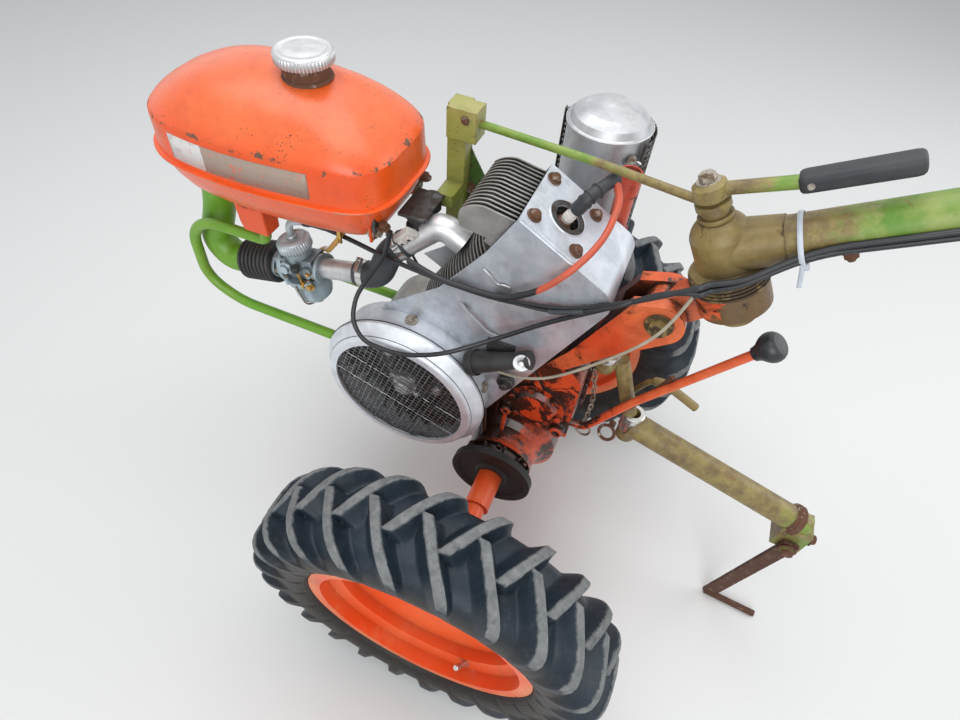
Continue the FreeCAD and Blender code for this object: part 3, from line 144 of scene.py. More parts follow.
# %% A short hand for material nodes
class Recipe:
    """A material under construction."""

    def __init__(self, name):
        self.material = bpy.data.materials.new(name)
        self.material.use_nodes = True
        self.tree = self.material.node_tree
        self.shader = self.tree.nodes["Principled BSDF"]
        self.place = self.add("ShaderNodeTexCoord").outputs["Object"]

    def add(self, kind, **settings):
        made = self.tree.nodes.new(kind)
        for key, value in settings.items():
            setattr(made, key, value)
        return made

    def feed(self, socket, value):
        """Link an output, or set a plain number or colour."""
        if isinstance(value, bpy.types.NodeSocket):
            self.tree.links.new(value, socket)
        elif isinstance(value, tuple) and len(value) == 3 and socket.type == "RGBA":
            socket.default_value = (*value, 1)
        else:
            socket.default_value = value

    def noise(self, scale, detail=4.0, rough=0.55, stretch=None, warp=0.0):
        """Cloudy noise from 0 to 1; stretch squeezes it along an axis."""
        noise = self.add("ShaderNodeTexNoise")
        where = self.place
        if stretch:
            mapping = self.add("ShaderNodeMapping")
            mapping.inputs["Scale"].default_value = stretch
            self.feed(mapping.inputs["Vector"], where)
            where = mapping.outputs[0]
        self.feed(noise.inputs["Vector"], where)
        noise.inputs["Scale"].default_value = scale
        noise.inputs["Detail"].default_value = detail
        noise.inputs["Roughness"].default_value = rough
        noise.inputs["Distortion"].default_value = warp
        return noise.outputs["Fac"]

    def cells(self, scale):
        """Distance to the nearest of many scattered points."""
        cells = self.add("ShaderNodeTexVoronoi")
        self.feed(cells.inputs["Vector"], self.place)
        cells.inputs["Scale"].default_value = scale
        return cells.outputs["Distance"]

    def between(self, value, low, high, to_low=0.0, to_high=1.0):
        """Stretch the values from low to high over 0 to 1 and cut off the rest."""
        stretch = self.add("ShaderNodeMapRange")
        for socket, number in zip(range(5), (value, low, high, to_low, to_high)):
            self.feed(stretch.inputs[socket], number)
        return stretch.outputs[0]

    def sum(self, operation, first, second):
        """Arithmetic on two values."""
        sum_ = self.add("ShaderNodeMath", operation=operation)
        self.feed(sum_.inputs[0], first)
        self.feed(sum_.inputs[1], second)
        return sum_.outputs[0]

    def plus(self, first, second):
        return self.sum("ADD", first, second)

    def times(self, first, second):
        return self.sum("MULTIPLY", first, second)

    def mix(self, share, first, second):
        """Blend two colours by a share."""
        blend = self.add("ShaderNodeMix", data_type="RGBA")
        for socket, value in zip((0, 6, 7), (share, first, second)):
            self.feed(blend.inputs[socket], value)
        return blend.outputs[2]

    def axis(self, name):
        """One of the piece's own coordinates, in metres."""
        axes = self.add("ShaderNodeSeparateXYZ")
        self.feed(axes.inputs[0], self.place)
        return axes.outputs[name]

    def from_axle(self):
        """The distance from the wheels' axle, in metres."""
        ahead, up = self.axis("X"), self.sum("SUBTRACT", self.axis("Z"), AXLE_HEIGHT * MM)
        return self.sum("SQRT", self.plus(self.times(ahead, ahead), self.times(up, up)), 0.0)

    def shade(self, reach, low, high, inside):
        occlusion = self.add("ShaderNodeAmbientOcclusion", samples=6, inside=inside)
        occlusion.inputs["Distance"].default_value = reach
        return self.between(occlusion.outputs["AO"], low, high, 1.0, 0.0)

    def corner_shade_and_dirt(self, reach):
        """1 in corners and under overhangs that ambient occlusion finds, 0 in the open; mixed into a colour
        it paints shade there, along with dirt.
        """
        return self.shade(reach, 0.35, 0.95, False)

    def edges(self, reach):
        """1 along outward edges, 0 on flat faces."""
        return self.shade(reach, 0.30, 0.80, True)

    def height(self, value, strength, depth=0.001):
        """Bump from a value; a second call adds to the first."""
        bump = self.add("ShaderNodeBump")
        bump.inputs["Strength"].default_value = strength
        bump.inputs["Distance"].default_value = depth
        self.feed(bump.inputs["Height"], value)
        before = self.shader.inputs["Normal"]
        if before.is_linked:
            self.feed(bump.inputs["Normal"], before.links[0].from_socket)
        self.feed(before, bump.outputs[0])

    def finish(self, colour, rough, metal=None, coat=0.0):
        """Set the shader's own sockets and give back the material."""
        self.feed(self.shader.inputs["Base Color"], colour)
        self.feed(self.shader.inputs["Roughness"], rough)
        if metal is not None:
            self.feed(self.shader.inputs["Metallic"], metal)
        self.shader.inputs["Coat Weight"].default_value = coat
        self.shader.inputs["Coat Roughness"].default_value = 0.25
        return self.material


def darker(tone, share):
    return tuple(part * share for part in tone)

# %% [markdown]
# Most of the tractor is painted metal that has been worn for decades. One recipe makes all of it: a faded and
# a fresh tone of the paint in large clouds, chips down to brown metal where the edges are and where a
# threshold on fine noise says so, and dirt with painted shade in the corners, where ambient occlusion darkens
# the colour. Each piece gets its own amounts, because the tank is wiped clean while the gearbox is black with
# oil.

# %% Worn paint
def worn_paint(name, fresh, faded, under, chips=0.5, dirt_and_shade=0.4, rough=0.42, grime=(0.035, 0.028, 0.022),
               specks=0.4, edge=0.6, cast=0.0, coat=0.15, oil=0.0, rear=None):
    """Old paint; chips, corner dirt and painted shade, specks, edge and oil run from 0 to 1. Behind rear[1]
    metres it is rear[0].
    """
    r = Recipe(name)
    cloud = r.noise(7, 5, 0.6)
    colour = r.mix(r.between(cloud, 0.38, 0.62), fresh, faded)
    mottle = r.noise(45, 5, 0.65)
    colour = r.mix(r.between(mottle, 0.45, 0.70, 0.0, 0.35 + 0.3 * cast), colour, darker(fresh, 0.62))
    if rear:
        spot = r.plus(r.axis("X"), r.between(r.noise(30, 6, 0.7), 0.3, 0.7, -0.012, 0.012))
        colour = r.mix(r.between(spot, rear[1], rear[1] - 0.004), colour,
                       r.mix(mottle, rear[0], darker(rear[0], 0.4)))
    bare = r.plus(r.noise(32, 9, 0.72), r.times(r.edges(0.004), 0.30 * edge))
    chipped = r.between(bare, 0.74 - 0.12 * chips, 0.77 - 0.12 * chips)
    patch = r.mix(r.noise(130, 4, 0.6), under, darker(under, 0.45))
    colour = r.mix(chipped, colour, patch)
    fleck = r.between(r.times(r.cells(150), r.noise(22, 3)), 0.035 + 0.035 * specks, 0.02, 0.0, 1.0)
    colour = r.mix(r.times(fleck, specks), colour, grime)
    # Painted shade: corners and overhangs that ambient occlusion finds take the grime colour, made patchy
    # like dirt.
    recess = r.times(r.corner_shade_and_dirt(0.03), r.between(r.noise(26, 5), 0.3, 0.62, 0.4, 1.0))
    colour = r.mix(r.times(recess, dirt_and_shade), colour, grime)
    shine = r.between(r.plus(chipped, r.times(recess, dirt_and_shade)), 0.0, 1.0, rough, 0.85)
    if oil:
        # The oil also gathers where ambient occlusion finds corners, which adds painted shade there.
        spread = r.plus(r.noise(24, 7, 0.68, warp=0.6), r.times(r.corner_shade_and_dirt(0.05), 0.22))
        oily = r.between(spread, 0.66 - 0.16 * oil, 0.70 - 0.16 * oil)
        tar = r.mix(r.noise(60, 5), (0.010, 0.008, 0.007), (0.050, 0.022, 0.014))
        colour = r.mix(r.times(oily, 0.96), colour, tar)
        shine = r.between(oily, 0.0, 1.0, rough, 0.26)
    r.height(r.sum("SUBTRACT", 1.0, chipped), 0.35, 0.0004)
    r.height(r.noise(90 if cast else 18, 4), 0.12 + 0.5 * cast, 0.0008 + 0.0008 * cast)
    return r.finish(colour, shine, r.times(chipped, 0.25), coat)


ORANGE = (0.74, 0.072, 0.013)
ORANGE_FADED = (0.83, 0.175, 0.055)
RUST = (0.16, 0.055, 0.022)
case_paint = worn_paint("case_paint", (0.72, 0.068, 0.012), (0.72, 0.10, 0.03), (0.06, 0.03, 0.02),
                        chips=0.45, dirt_and_shade=0.95, rough=0.40, specks=0.9, cast=0.9, coat=0.2, oil=0.95)
column_paint = worn_paint("column_paint", ORANGE, ORANGE_FADED, RUST, chips=0.40, dirt_and_shade=0.8, rough=0.45,
                          cast=0.5, oil=0.25)
tower_paint = worn_paint("tower_paint", (0.42, 0.035, 0.016), (0.55, 0.07, 0.03), (0.10, 0.035, 0.02),
                         chips=0.6, dirt_and_shade=0.6)
green_paint = worn_paint("green_paint", (0.25, 0.31, 0.040), (0.40, 0.36, 0.12), (0.20, 0.12, 0.05),
                         chips=0.75, dirt_and_shade=0.6, specks=0.8)
duct_paint = worn_paint("duct_paint", (0.12, 0.36, 0.008), (0.20, 0.38, 0.03), (0.16, 0.13, 0.05),
                        chips=0.25, dirt_and_shade=0.5)
knuckle_paint = worn_paint("knuckle_paint", ORANGE, ORANGE_FADED, RUST, chips=0.5, dirt_and_shade=0.9, rough=0.45,
                           cast=0.5, oil=0.35, rear=((0.20, 0.11, 0.035), -0.205))
ochre_paint = worn_paint("ochre_paint", (0.20, 0.135, 0.036), (0.31, 0.225, 0.070), (0.10, 0.060, 0.028),
                         chips=0.95, dirt_and_shade=0.6, cast=1.0, rough=0.46, specks=0.7)
print("painted finishes", len([m for m in bpy.data.materials if "paint" in m.name]))

# %% [markdown]
# The rims are orange too, but their flange has been scraped by kerbs and tyre irons. So their recipe follows
# the distance from the axle: pale, scuffed orange near the flange with brown chips on its lip, fresher paint
# in the well, and dirty runs between them.

# %% Rim paint
def rim_finish(name):
    r = Recipe(name)
    reach = r.from_axle()
    colour = r.mix(r.between(r.noise(9, 5, 0.6), 0.36, 0.64), (0.84, 0.082, 0.006), (0.85, 0.135, 0.028))
    scuffed = r.plus(r.between(reach, 0.146, 0.164, 0.0, 0.5),
                     r.between(r.noise(18, 6, 0.7), 0.3, 0.7, -0.1, 0.5))
    colour = r.mix(r.between(scuffed, 0.30, 0.75, 0.0, 0.85), colour, (0.80, 0.26, 0.115))
    grime = r.between(r.noise(15, 7, 0.7, warp=0.5), 0.56, 0.70, 0.0, 0.35)
    colour = r.mix(grime, colour, (0.26, 0.060, 0.020))
    bare = r.plus(r.noise(70, 8, 0.75), r.between(reach, 0.158, 0.166, 0.0, 0.10))
    chipped = r.between(bare, 0.705, 0.73)
    colour = r.mix(chipped, colour, r.mix(r.noise(150, 4), (0.055, 0.035, 0.026), (0.22, 0.11, 0.07)))
    # Painted shade: the rim darkens where ambient occlusion finds its inner corners.
    colour = r.mix(r.times(r.corner_shade_and_dirt(0.03), 0.55), colour, (0.10, 0.030, 0.014))
    r.height(r.sum("SUBTRACT", 1.0, chipped), 0.3, 0.0004)
    r.height(r.noise(14, 3), 0.12, 0.0008)
    return r.finish(colour, r.between(scuffed, 0.2, 0.9, 0.38, 0.62), None, 0.15)


rim_paint = rim_finish("rim_paint")
print("rim paint", rim_paint.name)

# %% [markdown]
# The tank is the piece one looks at first, so its paint has a recipe of its own. Its top is a paler salmon
# than its red-orange sides, and it is dirty in ways that follow its form: chips sit along the crease,
# grime lies on the shoulders where hands never wipe, and fine dark specks gather in loose clusters.

# %% Tank paint
def tank_finish(name):
    r = Recipe(name)
    x, z = r.axis("X"), r.axis("Z")
    # The dome above the crease gets a paler tone than the sides.
    top = r.between(r.plus(z, r.times(r.noise(9, 4), 0.02)), 0.748, 0.772)
    side_tone = r.mix(r.between(r.noise(8, 5, 0.6), 0.36, 0.64), (0.86, 0.085, 0.004), (0.88, 0.115, 0.008))
    top_tone = r.mix(r.between(r.noise(6, 5, 0.6), 0.36, 0.64), (0.80, 0.120, 0.022), (0.82, 0.175, 0.055))
    colour = r.mix(top, side_tone, top_tone)
    colour = r.mix(r.between(r.noise(38, 6, 0.7), 0.46, 0.72, 0.0, 0.40), colour, (0.52, 0.060, 0.014))
    crease = r.between(r.sum("ABSOLUTE", r.sum("SUBTRACT", z, 0.7425), 0.0), 0.011, 0.0)
    chips = r.plus(r.noise(64, 9, 0.75), r.times(crease, 0.20))
    chips = r.between(chips, 0.715, 0.735)
    colour = r.mix(chips, colour, r.mix(r.noise(160, 4), (0.060, 0.038, 0.028), (0.20, 0.10, 0.06)))
    cluster = r.between(r.noise(13, 5, 0.6, warp=0.4), 0.46, 0.66)
    specks = r.between(r.sum("SUBTRACT", r.cells(260), r.times(cluster, 0.16)), 0.10, 0.04)
    colour = r.mix(r.times(specks, r.between(r.noise(31, 3), 0.42, 0.55)), colour, (0.045, 0.020, 0.012))
    rear = r.between(x, 0.29, 0.20)
    nose = r.between(x, 0.44, 0.53)
    shoulder = r.times(r.sum("MAXIMUM", rear, nose), r.between(z, 0.738, 0.750))
    smear = r.between(r.plus(r.noise(30, 8, 0.72, stretch=(0.6, 0.6, 2.2)), r.times(shoulder, 0.13)), 0.67,
                      0.76)
    colour = r.mix(r.times(smear, 0.6), colour, (0.12, 0.045, 0.025))
    lip = r.plus(r.between(r.sum("ABSOLUTE", r.sum("SUBTRACT", z, 0.693), 0.0), 0.0035, 0.001, 0.0, 0.5),
                 r.noise(50, 7, 0.7))
    colour = r.mix(r.between(lip, 0.92, 1.0, 0.0, 0.8), colour, (0.36, 0.22, 0.16))
    streaks = r.between(r.noise(80, 7, 0.75, stretch=(0.45, 1.5, 1.0), warp=0.4), 0.69, 0.75, 0.0, 0.7)
    colour = r.mix(streaks, colour, (0.16, 0.050, 0.024))
    dents = r.noise(5, 2)
    r.height(dents, 0.35, 0.012)
    r.height(r.sum("SUBTRACT", 1.0, chips), 0.3, 0.0004)
    r.height(r.noise(120, 4), 0.06, 0.0004)
    dull = r.sum("MAXIMUM", r.sum("MAXIMUM", chips, smear), streaks)
    return r.finish(colour, r.between(dull, 0.0, 1.0, 0.33, 0.75), None, 0.22)


tank_paint = tank_finish("tank_paint")
print("tank paint", tank_paint.name)

# %% [markdown]
# The handlebar tube was brushed green over ochre primer. Hands and cables have rubbed the green away near the
# elbow, so the share of green follows the tube's length as well as the noise.

# %% Tube paint that turns from ochre to green
def tube_paint(name, start_x, end_x):
    """Green paint that fades to ochre towards start_x."""
    r = Recipe(name)
    along = r.between(r.axis("X"), start_x, end_x)
    share = r.plus(along, r.between(r.noise(14, 6, 0.7), 0.3, 0.7, -0.45, 0.45))
    green = r.mix(r.between(r.noise(34, 5, 0.65), 0.35, 0.65), (0.11, 0.25, 0.018), (0.27, 0.34, 0.075))
    ochre = r.mix(r.between(r.noise(48, 7, 0.72), 0.38, 0.62), (0.30, 0.235, 0.075), (0.155, 0.105, 0.042))
    colour = r.mix(r.between(share, 0.35, 0.62), ochre, green)
    worn = r.between(r.noise(26, 8, 0.75, warp=0.4), 0.57, 0.64)
    colour = r.mix(worn, colour, (0.21, 0.12, 0.045))
    rub = r.plus(r.noise(20, 6, 0.7), r.between(r.axis("Z"), 0.86, 0.90, 0.0, 0.08))
    colour = r.mix(r.between(rub, 0.62, 0.70, 0.0, 0.8), colour, (0.36, 0.36, 0.13))
    colour = r.mix(r.between(r.noise(90, 6, 0.75), 0.63, 0.70, 0.0, 0.8), colour, (0.07, 0.045, 0.025))
    r.height(r.noise(60, 5), 0.2, 0.0006)
    return r.finish(colour, r.between(r.noise(30, 4), 0.2, 0.8, 0.38, 0.65), None, 0.15)


handle_paint = tube_paint("handle_paint", -0.235, -0.325)
lock_paint = tube_paint("lock_paint", -0.165, -0.215)
rod_paint = tube_paint("rod_paint", -0.13, 0.06)
drawbar_paint = tube_paint("drawbar_paint", -0.38, -0.62)
print("handle and drawbar", handle_paint.name, drawbar_paint.name)

# %% [markdown]
# Bare metals differ by how they were made. The sheet shroud was sprayed silver and is mottled blue-grey, cast
# alloy is dull and grainy, and iron fasteners are brown with rust. Metal needs something to mirror, so none
# of them is fully metallic and smooth at once.

# %% Bare and silver metals
def silver_sheet(name, tone, deep, stains=0.5):
    """Silver paint on thin sheet, clouded and stained."""
    r = Recipe(name)
    colour = r.mix(r.between(r.noise(11, 6, 0.68, warp=0.5), 0.40, 0.60), tone, deep)
    colour = r.mix(r.between(r.noise(55, 6, 0.7), 0.48, 0.70, 0, 0.6), colour, darker(tone, 0.62))
    colour = r.mix(r.between(r.noise(26, 7, 0.7), 0.60, 0.74, 0, 0.7), colour,
                   tuple(min(c * 1.25, 0.85) for c in tone))
    # Painted shade: corners that ambient occlusion finds draw the dark stains in, mixed with the real stains.
    dirt_and_shade = r.times(r.corner_shade_and_dirt(0.035), r.between(r.noise(20, 5), 0.3, 0.6, 0.4, 1.0))
    stain = r.between(r.plus(r.noise(13, 8, 0.7), r.times(dirt_and_shade, 0.25)), 0.70 - 0.1 * stains, 0.80)
    colour = r.mix(r.times(stain, 0.75), colour, (0.09, 0.085, 0.08))
    r.height(r.noise(12, 3), 0.25, 0.002)
    r.height(r.noise(240, 3), 0.08, 0.0003)
    return r.finish(colour, r.between(r.noise(36, 5), 0.25, 0.75, 0.30, 0.52), 0.55, 0.0)


def cast_alloy(name, tone, deep, shade_and_dirt_share=0.7, rough=0.45, grain=0.4, metal=0.7):
    """Cast aluminium with oily dirt and painted shade in its corners."""
    r = Recipe(name)
    colour = r.mix(r.between(r.noise(30, 6, 0.65), 0.35, 0.7), tone, deep)
    # Painted shade: corners and narrow gaps that ambient occlusion finds are darkened, made patchy like oily
    # dirt.
    dirt_and_shade = r.times(r.corner_shade_and_dirt(0.018), r.between(r.noise(34, 5), 0.25, 0.6, 0.35, 1.0))
    colour = r.mix(r.times(dirt_and_shade, shade_and_dirt_share), colour, (0.028, 0.024, 0.02))
    r.height(r.noise(320, 4), grain, 0.0004)
    return r.finish(colour, r.between(r.noise(70, 4), 0.3, 0.7, rough - 0.1, rough + 0.15), metal, 0.0)


def rusty_steel(name, rust, metal_tone, rusted=0.7, rough=0.6):
    """Steel with rust over a share of it."""
    r = Recipe(name)
    share = r.between(r.noise(85, 8, 0.7), 0.62 - 0.3 * rusted, 0.72 - 0.3 * rusted)
    brown = r.mix(r.noise(210, 4), rust, darker(rust, 0.45))
    colour = r.mix(share, metal_tone, brown)
    r.height(r.noise(260, 5), 0.35, 0.0005)
    return r.finish(colour, r.between(share, 0, 1, rough - 0.22, rough + 0.2),
                    r.between(share, 0, 1, 0.85, 0.1), 0.0)


shroud_silver = silver_sheet("shroud_silver", (0.70, 0.74, 0.80), (0.50, 0.54, 0.60), 0.65)
muffler_silver = silver_sheet("muffler_silver", (0.55, 0.56, 0.57), (0.40, 0.42, 0.45), 0.3)
cover_alloy = cast_alloy("cover_alloy", (0.86, 0.90, 0.96), (0.62, 0.66, 0.71), 0.6, 0.42, 0.2, 0.35)
# The fins take the most painted shade, in the gaps between them.
fin_alloy = cast_alloy("fin_alloy", (0.38, 0.375, 0.36), (0.24, 0.235, 0.22), 0.95, 0.5)
rotor_alloy = cast_alloy("rotor_alloy", (0.13, 0.13, 0.13), (0.07, 0.07, 0.068), 0.9, 0.55, 0.4, 0.4)
carb_alloy = cast_alloy("carb_alloy", (0.50, 0.60, 0.65), (0.30, 0.39, 0.43), 0.85, 0.36, 0.2, 0.45)
bright_alloy = cast_alloy("bright_alloy", (0.66, 0.67, 0.68), (0.48, 0.49, 0.50), 0.5, 0.36, 0.2, 0.6)
nut_rust = rusty_steel("nut_rust", (0.17, 0.075, 0.04), (0.35, 0.30, 0.26), 0.9)
bolt_steel = rusty_steel("bolt_steel", (0.18, 0.10, 0.05), (0.42, 0.39, 0.33), 0.45)
leg_rust = rusty_steel("leg_rust", (0.115, 0.050, 0.030), (0.20, 0.13, 0.09), 0.9)
wire_grey = rusty_steel("wire_grey", (0.10, 0.10, 0.095), (0.30, 0.31, 0.31), 0.35, 0.62)
zinc_steel = rusty_steel("zinc_steel", (0.28, 0.25, 0.18), (0.62, 0.62, 0.60), 0.2, 0.42)
dark_steel = rusty_steel("dark_steel", (0.05, 0.035, 0.028), (0.10, 0.10, 0.10), 0.6, 0.55)
brass = rusty_steel("brass", (0.28, 0.15, 0.03), (0.60, 0.38, 0.10), 0.3, 0.45)
print("metals", shroud_silver.name, fin_alloy.name, nut_rust.name)

# %% [markdown]
# Rubber and plastic are told apart by their shine. Dust settles on rubber in a thin grey veil, while cable
# jackets and small mouldings stay smooth. The red lead turns black at the coil, where its sleeve begins.

# %% Rubber and plastic
def black_rubber(name, tone=(0.018, 0.018, 0.019), dust=0.4, rough=0.55):
    r = Recipe(name)
    veil = r.between(r.noise(28, 6, 0.65), 0.4, 0.75, 0.0, dust)
    colour = r.mix(veil, tone, (0.11, 0.105, 0.10))
    r.height(r.noise(180, 4), 0.15, 0.0004)
    return r.finish(colour, r.between(veil, 0, 1, rough, 0.85), None, 0.0)


def jacket(name, tone, deep, rough=0.38):
    r = Recipe(name)
    colour = r.mix(r.between(r.noise(60, 4), 0.3, 0.7), tone, deep)
    r.height(r.noise(300, 3), 0.08, 0.0002)
    return r.finish(colour, rough, None, 0.0)


rubber_black = black_rubber("rubber_black")
bellows_black = black_rubber("bellows_black", (0.022, 0.022, 0.024), 0.5, 0.45)
disc_black = black_rubber("disc_black", (0.008, 0.008, 0.008), 0.2, 0.6)
grip_black = black_rubber("grip_black", (0.018, 0.022, 0.028), 0.35, 0.5)
knob_black = black_rubber("knob_black", (0.012, 0.016, 0.022), 0.45, 0.34)
hose_grey = black_rubber("hose_grey", (0.036, 0.044, 0.053), 0.35, 0.45)
cable_black = jacket("cable_black", (0.012, 0.014, 0.018), (0.020, 0.022, 0.026))
r = Recipe("lead_red")
red = r.mix(r.between(r.noise(50, 5), 0.3, 0.7), (0.62, 0.085, 0.035), (0.50, 0.11, 0.06))
lead_red = r.finish(r.mix(r.between(r.axis("X"), -0.013, -0.011), red, (0.014, 0.015, 0.018)), 0.42)
wire_cream = jacket("wire_cream", (0.50, 0.46, 0.36), (0.36, 0.31, 0.22), 0.5)
tie_white = jacket("tie_white", (0.62, 0.66, 0.72), (0.50, 0.55, 0.62), 0.35)
ceramic = jacket("ceramic", (0.75, 0.72, 0.68), (0.55, 0.50, 0.46), 0.3)
print("rubbers and jackets made")

# %% [markdown]
# Small parts are drawn in bmesh, as points that are joined by faces. One helper gives the points of a circle,
# one joins rings of points, and one places a local shape at a point with its axis along a direction. The last
# closes a mesh into a named piece. Like parts share one mesh, because a hundred loose bolts would slow the
# scene down.

# %% Helpers for rings, places and pieces
def around(steps, start=0.0):
    """Cosine and sine at even steps round a full turn."""
    angles = [start + 2 * math.pi * k / steps for k in range(steps)]
    return [(math.cos(angle), math.sin(angle)) for angle in angles]


def skin(mesh, rings, cyclic=True):
    """Join rings of equal length by faces."""
    count = len(rings[0])
    for low, high in zip(rings, rings[1:]):
        for k in range(count if cyclic else count - 1):
            n = (k + 1) % count
            mesh.faces.new([low[k], low[n], high[n], high[k]])


def loft(mesh, outlines, closed=False):
    """Skin over outlines of points in metres, capped at both ends or closed into a loop."""
    rings = [[mesh.verts.new(point) for point in outline] for outline in outlines]
    skin(mesh, rings + rings[:1] if closed else rings)
    if not closed:
        mesh.faces.new(rings[0])
        mesh.faces.new(rings[-1])


def at(place, direction=(0, 0, 1), spin=0.0):
    """The matrix that puts a local Z axis at a place in millimetres, along a direction."""
    turn = Vector((0, 0, 1)).rotation_difference(Vector(direction))
    return Matrix.Translation(Vector(place) * MM) @ turn.to_matrix().to_4x4() @ Matrix.Rotation(spin, 4, "Z")


def seat(piece, material, body):
    """Put a new piece in the scene, with its finish and its body."""
    bpy.context.scene.collection.objects.link(piece)
    piece.data.materials.append(material)
    if body:
        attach(piece, body)
    return piece


def close_piece(name, mesh, material, body="chassis", sharp=35, bevel=0.0):
    """Turn a mesh under construction into a piece that rides on a body, or on none yet."""
    bmesh.ops.recalc_face_normals(mesh, faces=mesh.faces)
    data = bpy.data.meshes.new(name)
    mesh.to_mesh(data)
    mesh.free()
    piece = bpy.data.objects.new(name, data)
    if bevel:
        rounding = piece.modifiers.new("rounding", "BEVEL")
        rounding.width = bevel * MM
        rounding.segments = 2
        rounding.limit_method = "ANGLE"
    data.shade_smooth()
    data.set_sharp_from_angle(angle=math.radians(sharp))
    return seat(piece, material, body)


print("points of a circle", len(around(48)))

# %% [markdown]
# A lathe turns an outline about an axis, and a prism lifts a flat shape. With these two come the bolt with
# its washer, the domed nut, and a plain wire. Each bolt is turned by chance, as no mechanic lines up the
# heads.

# %% Helpers for turned parts, bolts and wires
def lathe(mesh, outline, matrix, steps=48):
    """Add a turned form to a mesh from (radius, height) points in millimetres."""
    rings = []
    for radius, height in outline:
        flat = around(steps) if radius else [(0, 0)]
        rings.append([mesh.verts.new(matrix @ (Vector((radius * c, radius * s, height)) * MM))
                      for c, s in flat])
    for low, high in zip(rings, rings[1:]):
        for k in range(steps):
            n = (k + 1) % steps
            corners = [low[k % len(low)], low[n % len(low)], high[n % len(high)], high[k % len(high)]]
            corners = [c for i, c in enumerate(corners) if c not in corners[:i]]
            if len(corners) > 2:
                mesh.faces.new(corners)


def prism(mesh, corners, low, high, matrix):
    """Add a straight-sided block from flat corners (x, y) and two heights, in millimetres."""
    loft(mesh, [[matrix @ Vector((x * MM, y * MM, z * MM)) for x, y in corners] for z in (low, high)])


def hexagon(across):
    reach = across / math.sqrt(3)
    return [(reach * c, reach * s) for c, s in around(6)]


def hex_bolt(mesh, place, direction, across=13, head=6, washer=1.5):
    """A bolt head on its washer, in millimetres."""
    matrix = at(place, direction, chance.uniform(0, 1))
    wide = across * 0.80
    lathe(mesh, [(0, 0), (across * 0.78, 0), (wide, 0.3), (wide, washer), (0, washer)], matrix, 24)
    prism(mesh, hexagon(across), washer, washer + head * 0.86, matrix)
    crown = [(across * 0.50, washer + head * 0.80), (across * 0.44, washer + head), (0, washer + head)]
    lathe(mesh, crown, matrix, 24)


def cap_nut(mesh, place, direction, across=17, height=13):
    """A domed nut on a washer."""
    matrix = at(place, direction, chance.uniform(0, 1))
    wide = across * 0.74
    lathe(mesh, [(0, 0), (wide, 0), (wide, 1.8), (0, 1.8)], matrix, 28)
    prism(mesh, hexagon(across), 1.8, height * 0.55, matrix)
    dome = [(across * 0.5 * c, height * 0.50 + height * 0.5 * s) for c, s in around(20)[:5]]
    lathe(mesh, dome + [(0, height)], matrix, 28)


def stroke(name, points, radius, material):
    """A round wire or hose along a smooth spline; points in millimetres."""
    curve = bpy.data.curves.new(name, "CURVE")
    curve.dimensions = "3D"
    curve.bevel_depth = radius * MM
    curve.bevel_resolution = 4
    curve.resolution_u = 10
    curve.use_fill_caps = True
    spline = curve.splines.new("NURBS")
    spline.points.add(len(points) - 1)
    for spot, (x, y, z) in zip(spline.points, points):
        spot.co = (x * MM, y * MM, z * MM, 1)
    spline.order_u = 4
    spline.use_endpoint_u = True
    return seat(bpy.data.objects.new(name, curve), material, "chassis")


trial = bmesh.new()
hex_bolt(trial, (0, 0, 0), (0, 0, 1))
print("faces in a bolt", len(trial.faces))
trial.free()

# %% [markdown]
# The CAD nodes whose shape is right stay and only get their finish, from one table of materials and nodes.
# Faces that meet at a small angle are shaded as one round surface, and steeper edges stay crisp.

# %% Finishes for the CAD nodes
NODE_FINISH = [  # material, names of nodes
    (rubber_black, "tyre_left tyre_right ignition_coil hand_levers"),
    (rim_paint, "rim_left rim_right axle_stub_left axle_stub_right"),
    (disc_black, "dust_disc_left dust_disc_right"),
    (case_paint, "gearbox axle_housing gearbox_covers tank_feet"),
    (fin_alloy, "crankcase cylinder_barrel cylinder_head"),
    (shroud_silver, "cooling_shroud"),
    (cover_alloy, "fan_housing"),
    (zinc_steel, "fan_grille"),
    (rotor_alloy, "fan_rotor"),
    (nut_rust, "spark_plug"),
    (lead_red, "ignition_lead"),
    (duct_paint, "air_duct guard_hoop"),
    (bellows_black, "bellows"),
    (carb_alloy, "carburettor"),
    (bright_alloy, "intake_pipe intake_flange fuel_cap"),
    (hose_grey, "intake_hose"),
    (tank_paint, "fuel_tank"),
    (green_paint, "frame_post"),
    (muffler_silver, "muffler"),
    (dark_steel, "muffler_guard exhaust_pipe"),
    (knuckle_paint, "column_knuckle"),
    (column_paint, "column_bracket gear_lever"),
    (ochre_paint, "handlebar_elbow hitch_pin"),
    (handle_paint, "handlebar_tube handle_bar"),
    (grip_black, "grips lock_lever_grip"),
    (lock_paint, "lock_lever"),
    (rod_paint, "control_rod"),
    (tower_paint, "selector_tower"),
    (knob_black, "gear_knob"),
    (drawbar_paint, "drawbar"),
    (leg_rust, "prop_leg"),
    (cable_black, "front_cables rear_cables"),
]
SHARP_DEGREES = 32
for material, names in NODE_FINISH:
    for name in names.split():
        data = nodes[name].data
        data.materials.clear()
        data.materials.append(material)
        data.set_sharp_from_angle(angle=math.radians(SHARP_DEGREES))
print("finished nodes", len(nodes))

# %% [markdown]
# Many forms follow a smooth line through a few points that were measured on the photo. One helper makes such
# a line, open or closed, and a second one walks round a closed line in even steps, so that faces over it are
# even.

